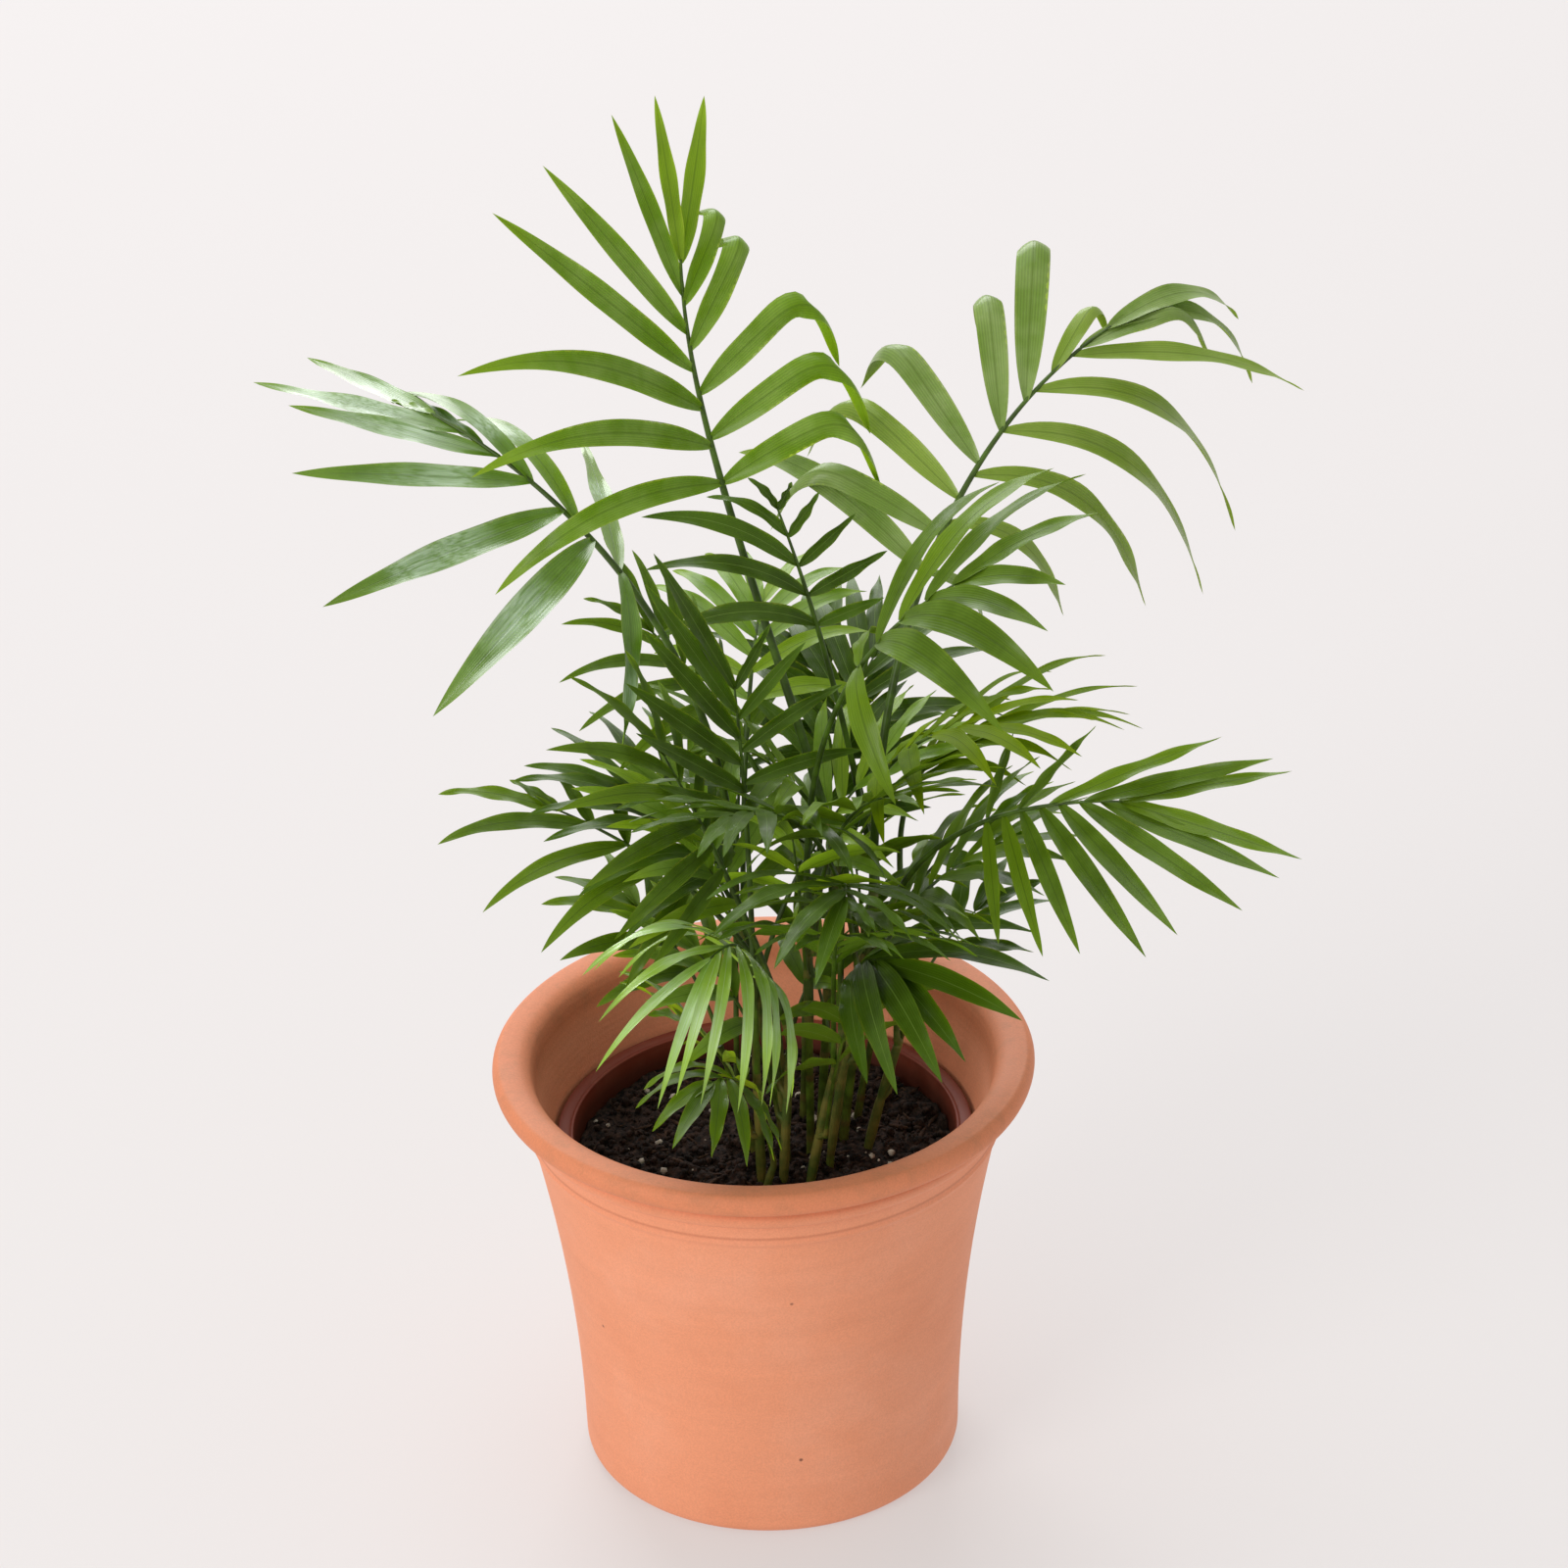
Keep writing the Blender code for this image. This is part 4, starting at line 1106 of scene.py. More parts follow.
@dataclass(frozen=True)
class Cane:
    """One upright stem, from the compost to the foot of its topmost frond."""

    foot: Pair
    top: tuple[float, float, float]
    radius: float = 0.0026
    ring_step: float = 0.034
    slimness: float = 0.70          # of the solid cane's radius
    sunk: float = 0.004
    sides: int = 14
    tapered: float = 0.22           # share of its radius that it loses by its top
    bowed: float = 0.25             # the factor of its bow, which grows with how far it leans
    swelling: Pair = (0.10, 0.035)  # at an old leaf's ring: share of the radius, and of the step
    waist: Pair = (0.04, 0.06)      # just above the ring, in the same shares
    waist_off: float = 0.10
    flare: Pair = (0.18, 0.007)     # in the compost: share of the radius, and height

    def point(self, height: float | np.ndarray) -> np.ndarray:
        """The middle of the cane: a straight line from foot to top, bowed outwards by a parabola.

        Args:
            height: where along the cane, in metres above the ground.

        Returns:
            The point, or one for each height.
        """
        foot = np.array([*self.foot, SOIL_TOP + GAP])
        top = np.array(self.top)
        along = np.asarray((height - foot[2]) / (top[2] - foot[2]))[..., None]
        bow = self.bowed * (top - foot) * np.array([1.0, 1.0, 0.0]) * along * (along - 1)
        return foot + (top - foot) * along + bow

    def thickness(self, height: float | np.ndarray) -> float | np.ndarray:
        """The solid cane's radius at a height: it tapers evenly."""
        return self.radius * (1 - self.tapered * (height - SOIL_TOP) / (self.top[2] - SOIL_TOP))

    def build(self) -> Shell:
        """Make a tube whose radius has a narrow swelling at every old leaf's ring, a waist above
        it, and a flare where it stands in the compost.

        Returns:
            The closed tube.
        """
        height = np.linspace(SOIL_TOP - self.sunk, self.top[2], 150)
        phase = ((height - SOIL_TOP + self.sunk) / self.ring_step) % 1.0 - 0.5
        (swell, swell_width), (waist, waist_width) = self.swelling, self.waist
        rings = swell * np.exp(-(phase / swell_width) ** 2)
        rings = rings - waist * np.exp(-((phase - self.waist_off) / waist_width) ** 2)
        flare = self.flare[0] * np.exp(-(height - SOIL_TOP) / self.flare[1])
        radii = self.slimness * self.thickness(height) * (1 + rings + flare)
        points = self.point(height)
        return tube(points, unit(np.gradient(points, axis=0)), radii, self.sides)


@dataclass(frozen=True)
class BladeForm:
    """A fine blade's section. Its folds and pleats are shares of its half width."""

    fold: float = 0.16              # rise of its two halves
    fold_lost: float = 0.10         # of that, by the tip
    base_fold: float = 0.55         # added where it joins the rib
    base_reach: float = 0.07        # share of the length over which that fades
    crease_round: float = 0.004     # keeps the fold's crease from being sharp
    pleat: float = 0.022
    waves: float = 5.5              # half turns of the edge's wave along the blade
    thickness: float = 0.00034      # metres at its middle; it thins to nothing at the edge
    strips: int = 8                 # across its upper side


FORM = BladeForm()


@dataclass(frozen=True)
class Leaflet:
    """One leaflet: its midrib's points, their directions, and the sideways direction and half
    width at each."""

    points: np.ndarray
    directions: np.ndarray
    widths: np.ndarray
    half_width: np.ndarray          # in the solids
    length: float
    fine_half: np.ndarray           # of the fine blade
    twist: float                    # radians by its tip
    wave: float                     # metres at its edge
    arching: float                  # how far the outer half of a blade that folds over is arched

    def hull(self, margin: float) -> Hull:
        """Make the three-cornered blade of the solids, for finding what a leaflet would touch.

        Args:
            margin: how much wider the hull is than the blade, in metres.

        Returns:
            Points and faces.
        """
        stations = 5 if self.length > LONG_LEAF else 4
        keep = np.round(np.linspace(0, 1, stations) ** 0.9 * LEAF_STEPS).astype(int)
        directions, widths = self.directions[keep], self.widths[keep]
        normals = np.cross(directions, widths)
        half = np.maximum(self.half_width[keep], LEAF_LEAST_HALF_WIDTH)[:, None] + margin
        depth = max(LEAF_THICKNESS_RATIO * self.length, LEAF_LEAST_DEPTH)
        depth = depth * np.linspace(1, 0.5, stations)[:, None] + margin
        top = self.points[keep] + normals * margin
        keel = self.points[keep] - normals * depth
        rings = np.stack([top - widths * half, top + widths * half, keel], axis=1)[:-1]
        corner = np.arange(3)
        side = (corner + 1) % 3
        level = np.arange(stations - 2)[:, None] * 3
        faces = np.stack([level + corner, level + corner + 3, level + side + 3, level + side], axis=-1)
        last = (stations - 2) * 3
        ends = [(0, 1, 2)] + [(last + c, last + 3, last + s) for c, s in zip(corner, side)]
        tip = self.points[-1] + directions[-1] * margin
        return np.vstack([rings.reshape(-1, 3), tip]), faces.reshape(-1, 4).tolist() + ends

    def blade(self, slots: tuple[int, int]) -> Shell:
        """Make the fine blade. A point at v across and u along is the midrib's point, plus v times
        the half width sideways, plus a rise of |v| that folds the blade and pleats of cos 2 pi v,
        less its arching times v squared. The whole blade turns about its midrib by its twist and
        waves along its edges.

        Args:
            slots: material slots of the upper side and the underside.

        Returns:
            The closed blade.
        """
        across = FORM.strips
        u = np.linspace(0, 1, len(self.points))[:-1, None]
        over = np.linspace(-1, 1, across + 1)
        v = np.concatenate([over, over[-2:0:-1]])
        below = np.concatenate([np.zeros(across + 1), np.ones(across - 1)])
        half = self.fine_half[:-1, None]
        turn = self.twist * smooth_step(0.1, 1.0, u)[..., None]
        normals = np.cross(self.directions, self.widths)[:-1, None]
        widths = self.widths[:-1, None]
        sideways = widths * np.cos(turn) + normals * np.sin(turn)
        upwards = normals * np.cos(turn) - widths * np.sin(turn)
        arched = self.arching * smooth_step(0.25, 0.55, u)
        fold = (FORM.fold - FORM.fold_lost * smooth_step(0.5, 1.0, u)) * (1 - arched)
        fold = fold + FORM.base_fold * np.exp(-u / FORM.base_reach)
        bowed = np.sqrt(v ** 2 + FORM.crease_round)
        rise = half * (fold * bowed - arched * v ** 2 + FORM.pleat * np.cos(2 * math.pi * v))
        waving = np.sin(FORM.waves * math.pi * u + 1.5 * v) * v ** 2 * smooth_step(0, 0.3, u)
        depth = FORM.thickness * below * (1 - v ** 4)
        reach = half / np.sqrt(1 + fold ** 2) * v
        rings = (self.points[:-1, None] + sideways * reach[..., None]
                 + upwards * (rise + self.wave * waving - depth)[..., None])
        place = np.append((v + 1) / 2, 0.0)
        uv = np.stack(np.broadcast_arrays(place[None], u), axis=-1)
        strips = np.where(np.arange(2 * across) < across, slots[0], slots[1])
        start = rings[0].mean(axis=0)
        return Shell.of_rings(rings, uv, start, self.points[-1], strips)


@dataclass(frozen=True)
class Frond:
    """One frond: a bare petiole that goes over into the rib between two rows of leaflets."""

    name: str
    cane: str
    heading: float                  # degrees, 0 along +X and 90 along +Y
    rise: Pair                      # degrees above level, at the foot and at the tip
    petiole: float
    blade: float
    left: LeafRow
    right: LeafRow
    turn: float = 0                 # how far the heading swings by the tip
    bend: float = 1.5               # over 1, the rib curves mostly near its tip
    roll: float = 0
    curl: float = 1.6               # over 1, a leaflet bends mostly near its end
    down: float = 0                 # how far below the cane's top a side frond leaves it
    radius: float = 0.0016
    tone: Tone = Tone.SHADE

    def foot(self) -> np.ndarray:
        """Find where the petiole starts: on its cane's top, or beside the cane and clear of it.

        Returns:
            The point.
        """
        cane = CANES[self.cane]
        level = cane.top[2] - self.down
        start = cane.point(level)
        if self.down:
            heading = math.radians(self.heading)
            clear = cane.thickness(level - 0.004) + self.radius * 1.15 + 2 * GAP
            return start + clear * np.array([math.cos(heading), math.sin(heading), 0.0])
        return start + (GAP + self.radius * 1.2 * math.cos(math.radians(self.rise[0]))) * UP

    def rib(self) -> Path:
        """Shape the rib with its petiole: rise and heading go from the foot's to the tip's, and the
        points are their sum by the trapezium rule.

        Returns:
            Points and directions.
        """
        u = np.linspace(0, 1, RIB_STEPS + 1)
        rise = np.radians(blend(self.rise, u ** self.bend))
        heading = np.radians(self.heading + self.turn * u)
        directions = np.stack([np.cos(rise) * np.cos(heading), np.cos(rise) * np.sin(heading),
                               np.sin(rise)], axis=-1)
        return path(self.foot(), directions, self.petiole + self.blade), directions

    def rib_radii(self, where: np.ndarray) -> np.ndarray:
        """The rib's radius at shares of its length: it tapers faster beyond the petiole."""
        blade_start = self.petiole / (self.petiole + self.blade)
        return self.radius * np.interp(where, [0, 0.05, blade_start, 1], [1.15, 1, 0.75, 0.3])

    def rib_hull(self, margin: float) -> Hull:
        """Make the three-sided rib of the solids, for finding what a rib would touch.

        Args:
            margin: how much thicker the hull is than the rib, in metres.

        Returns:
            Points and faces.
        """
        points, directions = self.rib()
        blade_start = self.petiole / (self.petiole + self.blade)
        where = np.append(np.linspace(0, blade_start, 5)[:-1], np.linspace(blade_start, 1, 6))
        keep = np.round(where * RIB_STEPS).astype(int)
        made = tube(points[keep], directions[keep], self.rib_radii(where) + margin, RIB_SIDES)
        return made.points, made.quads.tolist() + made.tris.tolist()

    def frame_at(self, where: float, rib: Path) -> tuple[np.ndarray, ...]:
        """Find how the frond lies at one place of its rib.

        Args:
            where: share of the rib's length.
            rib: the rib's points and directions.

        Returns:
            The point, and the directions along the rib, up from the frond's face and to its right.
        """
        points, directions = rib
        place = where * RIB_STEPS
        index = min(int(place), RIB_STEPS - 1)
        point = blend((points[index], points[index + 1]), place - index)
        along = unit(blend((directions[index], directions[index + 1]), place - index))
        heading = math.radians(self.heading + self.turn * where)
        across = np.array([math.sin(heading), -math.cos(heading), 0.0])
        across = unit(across - (across @ along) * along)
        normal = np.cross(across, along)
        roll = math.radians(self.roll)
        across = across * math.cos(roll) - normal * math.sin(roll)
        return point, along, np.cross(across, along), across

    def leaflet(self, row: LeafRow, sign: int, index: int, shift: tuple, rib: Path) -> Leaflet:
        """Shape one leaflet, by the rule that the solids follow.

        Args:
            row: the side of the frond that it is on.
            sign: 1 on the right, -1 on the left.
            index: its place from the base.
            shift: degrees of lift, degrees of spread and share of length that clear neighbours.
            rib: the rib's points and directions.

        Returns:
            The leaflet.
        """
        t = index / max(row.count - 1, 1)
        chance = random.Random(f"{self.name}{sign}{index}")
        where = (self.petiole + self.blade * min(t, 0.985)) / (self.petiole + self.blade)
        base, along, normal, across = self.frame_at(where, rib)
        turned = blend(row.spread, t) + row.swing(index) + shift[1] + chance.uniform(*ANGLE_CHANCE)
        spread = math.radians(turned)
        lift = math.radians(row.lift + shift[0] + chance.uniform(*ANGLE_CHANCE))
        length = blend(row.length, t) * (1 + MIDDLE_LONGER * math.sin(math.pi * t)) * shift[2]
        length *= chance.uniform(*LENGTH_CHANCE) * row.share(index)
        droop = row.droop * (1 - TIP_STIFFER * t) * chance.uniform(*DROOP_CHANCE)
        out = math.cos(lift) * sign * across + math.sin(lift) * normal
        first = math.cos(spread) * along + math.sin(spread) * out
        habit = row.habit(index)
        sag = unit(-UP - SAG_OFF_FACE.get(habit, USUAL_SAG_OFF_FACE) * normal)
        u = np.linspace(0, 1, LEAF_STEPS + 1)[:, None]
        if habit is Habit.STRAIGHT:
            first = unit(unit(first + droop * u ** self.curl * sag).mean(axis=0))
        line = unit(first + habit.fall(u, droop, self.curl) * sag)
        face = unit(normal * 0.75 + UP * 0.25)
        widths = np.cross(face, first) * np.ones_like(line)
        widths = unit(widths - np.sum(widths * line, axis=1, keepdims=True) * line)
        half = (LEAF_WIDTH_RATIO * length + LEAF_WIDTH_BASE) / 2 * row.width
        folds_over = habit in (Habit.FOLDED, Habit.BENT_BACK)
        twist = math.radians(chance.uniform(*TWIST_CHANCE)) * (FOLDED_TWIST if folds_over else 1.0)
        return Leaflet(path(base, line, length), line, widths, half * outline(u[:, 0], *PLAIN_OUTLINE),
                       length, half * outline(u[:, 0], *FINE_OUTLINE), twist,
                       chance.uniform(*WAVE_CHANCE), FOLDED_ARCHING if folds_over else 0.0)


def outline(u: np.ndarray, near: float, far: float, peak: float) -> np.ndarray:
    """A leaflet's half width, as a share of its widest: u to one power times (1 - u) to another."""
    return (u + 0.012) ** near * (1.0 - u) ** far / peak


def path(start: np.ndarray, directions: np.ndarray, length: float) -> np.ndarray:
    """Points along a curve that keeps to the given directions, by the trapezium rule."""
    steps = (directions[1:] + directions[:-1]) / 2 * (length / (len(directions) - 1))
    return start + np.vstack([np.zeros(3), np.cumsum(steps, axis=0)])


def tree_of(points: np.ndarray, faces: list) -> BVHTree:
    """A search tree over a mesh."""
    return BVHTree.FromPolygons(points.tolist(), faces)


CANES = {
    "a": Cane((-0.002, -0.030), (-0.003, -0.036, 0.225)),
    "b": Cane((0.008, -0.031), (0.013, -0.028, 0.232)),
    "c": Cane((0.020, -0.034), (0.036, -0.038, 0.236)),
    "d": Cane((0.029, -0.022), (0.040, -0.026, 0.236)),
    "e": Cane((0.036, 0.002), (0.052, 0.004, 0.272), 0.0032),
    "f": Cane((0.043, 0.022), (0.066, 0.040, 0.262)),
    "g": Cane((0.047, -0.006), (0.068, -0.012, 0.238)),
    "h": Cane((0.010, -0.014), (0.006, -0.012, 0.244)),
    "i": Cane((0.021, -0.010), (0.022, -0.018, 0.300), 0.0028),
    "j": Cane((0.009, 0.002), (-0.011, 0.005, 0.290), 0.0028),
    "k": Cane((0.026, 0.008), (0.036, 0.007, 0.310), 0.0032),
    "l": Cane((0.034, 0.018), (0.054, 0.028, 0.280)),
    "m": Cane((-0.004, -0.008), (-0.020, -0.012, 0.222)),
    "n": Cane((0.018, 0.024), (0.024, 0.036, 0.270)),
    "o": Cane((-0.001, -0.042), (0.004, -0.042, 0.176), 0.0020),
}

# The fronds that stand out of the crown, each set by its own curve.
SHOWN = (
    Frond("frond_left_long", "j", 182, (90, 19), 0.174, 0.110,
          LeafRow(7, (86, 10), 34, (0.138, 0.068), 1.2, 0.95, "hssssss",
                  (6, 12.1, 10.2, 9.0, 8.7, 11.2, 12.5), (30, 1.5, -2, -7, -16, -11, -31)),
          LeafRow(5, (42, 10), 34, (0.092, 0.051), 2.1, 0.90, "saass", (12, 11, 10, 7, 5),
                  (6, -12, -12)),
          turn=-29, bend=1.3, roll=-16, curl=1.3, radius=0.0020, tone=Tone.GLOSSY),
    Frond("frond_top", "k", 128, (66, 90), 0.178, 0.107,
          LeafRow(7, (70, 10), 35, (0.138, 0.088), 1.2, 0.80, "haassss",
                  (9.3, 10, 10.5, 9.5, 9, 8.5, 9), (0, 0, 0, -9, -5, -9, -8)),
          LeafRow(6, (70, 22), 30, (0.138, 0.094), 4.8, 1.0, "fffbbs", (7.5, 7.4, 7, 7.8, 7.4, 8.3),
                  (0, 0, 0, -8, -4, -3)),
          turn=24, bend=2.8, roll=-31, curl=1.9, radius=0.0022, tone=Tone.MATT),
    Frond("frond_right_tall", "e", 63, (90, 16), 0.173, 0.145,
          LeafRow(9, (78, 10), 8, (0.130, 0.115), 4.0, 0.94, "effbbbffa",
                  (9.5, 8, 7.8, 8.5, 8.8, 10, 5, 7, 9), (-12, 13, 10, 12, 0, 0, -8, -29, -8)),
          LeafRow(7, (76, 10), -12, (0.120, 0.128), 6.5, 0.76, "aaaaaea",
                  (5, 7.4, 10.5, 11, 11, 8.8, 9.5), (0, 0, 0, 7, 5, 12, -4)),
          turn=-29, bend=1.3, roll=36, curl=1.5, radius=0.0022, tone=Tone.PALE),
    Frond("frond_right_low", "e", -52, (80, 9), 0.118, 0.070,
          LeafRow(5, (72, 18), 34, (0.034, 0.076), 0.8, 0.86, "sssss", (12, 10, 12.5, 11.5, 10),
                  (-10, -18, -22, -14, 0)),
          LeafRow(8, (82, 13), -12, (0.060, 0.086), 0.1, 0.86),
          turn=30, bend=0.9, roll=36, curl=1.7, down=0.012, tone=Tone.SHADE),
    Frond("frond_left_lean", "b", 208, (76, 66), 0.104, 0.068,
          LeafRow(6, (84, 10), -8, (0.064, 0.062), 1.2, 0.90),
          LeafRow(5, (84, 26), 9, (0.028, 0.049), 1.2, 0.95),
          turn=-13, bend=0.9, roll=-36, curl=1.3, tone=Tone.SHADE),
    Frond("frond_left_lower", "h", 180, (76, 19), 0.071, 0.069,
          LeafRow(5, (78, 10), 5, (0.064, 0.061), 2.0, 0.95),
          LeafRow(5, (84, 16), 9, (0.028, 0.028), 0.8, 1.10),
          turn=-16, bend=0.8, roll=-22, curl=2.0, tone=Tone.SHADE),
    Frond("frond_centre_vee", "a", 90, (88, 80), 0.127, 0.061,
          LeafRow(6, (58, 28), 17, (0.059, 0.088), 0.0, 0.86),
          LeafRow(5, (84, 32), 22, (0.055, 0.032), 1.0, 0.90),
          turn=28, roll=6, curl=1.3, tone=Tone.DARK),
    Frond("frond_front_bright", "a", 273, (90, 0), 0.067, 0.069,
          LeafRow(8, (64, 10), -12, (0.078, 0.081), 3.2, 0.50),
          LeafRow(5, (28, 10), -12, (0.080, 0.084), 2.0, 0.46),
          turn=-29, bend=1.9, roll=-26, curl=1.9, down=0.010, tone=Tone.FRESH),
    Frond("frond_front_small", "o", 238, (75, 16), 0.062, 0.036,
          LeafRow(5, (78, 10), -6, (0.041, 0.062), 0.8, 0.95),
          LeafRow(4, (80, 10), 7, (0.032, 0.045), 2.4, 1.1),
          turn=6, bend=1.7, roll=-19, curl=1.2, radius=0.0011, tone=Tone.SHADE),
    Frond("frond_front_dark", "c", 285, (91, 3), 0.115, 0.026,
          LeafRow(4, (73, 35), 1, (0.060, 0.028), 1.3, 1.0),
          LeafRow(4, (41, 8), 14, (0.092, 0.078), 0.8, 0.9),
          turn=-18, bend=2.0, roll=-5, curl=1.7, tone=Tone.DARK),
    Frond("frond_right_front", "d", 293, (90, 12), 0.038, 0.022,
          LeafRow(4, (32, 10), -12, (0.073, 0.089), 1.1, 1.2),
          LeafRow(4, (48, 10), -12, (0.080, 0.077), 1.5, 1.2),
          turn=11, bend=1.9, roll=24, curl=1.3, tone=Tone.DARK),
    Frond("frond_mid_right", "i", -44, (90, 35), 0.133, 0.066,
          LeafRow(5, (84, 10), 6, (0.061, 0.068), 1.2, 1.3, "", (7, 13, 13, 12, 11), (0, -22, -8)),
          LeafRow(5, (84, 10), 18, (0.086, 0.077), 1.9, 1.25, "haaaa", (8.8, 10.4, 10, 8.5, 8),
                  (-10, -22, -15, 0, 8)),
          turn=27, bend=1.4, roll=25, curl=1.3, tone=Tone.SHADE),
    Frond("frond_right_yellow", "f", 30, (93, 27), 0.066, 0.026,
          LeafRow(4, (44, 8), -14, (0.059, 0.090), 1.6),
          LeafRow(5, (36, 8), -14, (0.071, 0.090), 2.1),
          turn=-30, bend=2.4, roll=-2, curl=2.5, tone=Tone.YELLOW),
    Frond("frond_upper_dark", "l", 154, (81, 72), 0.135, 0.060,
          LeafRow(5, (46, 10), -9, (0.080, 0.044), 1.8, 0.9, "", (10, 10, 10, 7, 5)),
          LeafRow(5, (84, 46), 34, (0.034, 0.034), 0.1, 1.0, "", (10, 10, 8, 6, 4)),
          turn=19, bend=1.4, roll=-34, curl=1.3, tone=Tone.DARK),
    Frond("frond_back_left", "n", 156, (76, 45), 0.106, 0.043,
          LeafRow(5, (72, 10), 8, (0.066, 0.038), 1.8),
          LeafRow(5, (50, 21), 15, (0.037, 0.048), 0.9),
          turn=6, bend=0.9, roll=-17, curl=1.8, tone=Tone.SHADE),
)

INNER_TONES = (Tone.DARK, Tone.SHADE, Tone.MATT)
GOLDEN_ANGLE = 137.5


@dataclass(frozen=True)
class Filling:
    """The rule of some small fronds that fill the crown, turned by the golden angle from one to
    the next. Where chance draws a size, a pair is its least value and how far it ranges."""

    name: str
    seed: str                       # of the chance that shapes them, before their number
    canes: str                      # the letter of each frond's cane
    first_heading: float
    first_tone: int
    rise: Pair                      # degrees at the foot, and the least at the tip
    raised: float                   # degrees that those in front rise more, so the pot stays open
    petiole: Pair
    blade: float
    radius: float
    down: tuple[float, float, int]  # below the cane's top: least, step, and how many steps
    leaf: Pair
    shrink: float                   # how much of its length a leaflet has by the tip
    droop: float                    # least
    row: LeafRow
    right_count: int
    young: int = -1                 # the number of one that is young, and so small and yellow

    def fronds(self) -> list[Frond]:
        """Shape the fronds, cane after cane.

        Returns:
            One frond for each letter of canes.
        """
        made = []
        for index, cane in enumerate(self.canes):
            chance = random.Random(f"{self.seed} {index}" if self.seed else index)
            leaf = self.leaf[0] + self.leaf[1] * chance.random()
            row = replace(self.row, length=(leaf, leaf * self.shrink),
                          droop=self.droop + 0.6 * chance.random())
            heading = (self.first_heading + GOLDEN_ANGLE * index) % 360
            raised = self.raised if math.sin(math.radians(heading)) < -0.2 else 0
            young = index == self.young
            tone = Tone.YELLOW if young else INNER_TONES[(index + self.first_tone) % len(INNER_TONES)]
            made.append(Frond(
                f"frond_{self.name}_{index + 1:02d}", cane, heading,
                (self.rise[0], raised + self.rise[1] + 30 * chance.random()),
                self.petiole[0] + self.petiole[1] * chance.random(), self.blade,
                replace(row, tenths=(5, 5, 6, 7, 8, 9)) if young else row,
                replace(row, count=self.right_count),
                down=self.down[0] + self.down[1] * (index % self.down[2]), radius=self.radius, tone=tone))
        return made


# Those inside the crown and on its far side, as in the solids, then the small ones low on the
# canes, which have no solids of their own.
INNER = Filling("inner", "", "nlkfgmhijedbcm", first_heading=62, first_tone=0, rise=(84, 10), raised=0,
                petiole=(0.070, 0.050), blade=0.052, radius=0.0014, down=(0.016, 0.010, 2),
                leaf=(0.060, 0.012), shrink=0.8, droop=0.8,
                row=LeafRow(6, (68, 20), 12, (0, 0), 0, 1.0), right_count=5, young=2)
LOW = Filling("low", "low", "hbjmacdigfnkle", first_heading=15, first_tone=1, rise=(80, 15), raised=28,
              petiole=(0.030, 0.045), blade=0.040, radius=0.0011, down=(0.030, 0.009, 3),
              leaf=(0.044, 0.014), shrink=0.85, droop=0.7,
              row=LeafRow(4, (70, 22), 10, (0, 0), 0, 1.15), right_count=4)


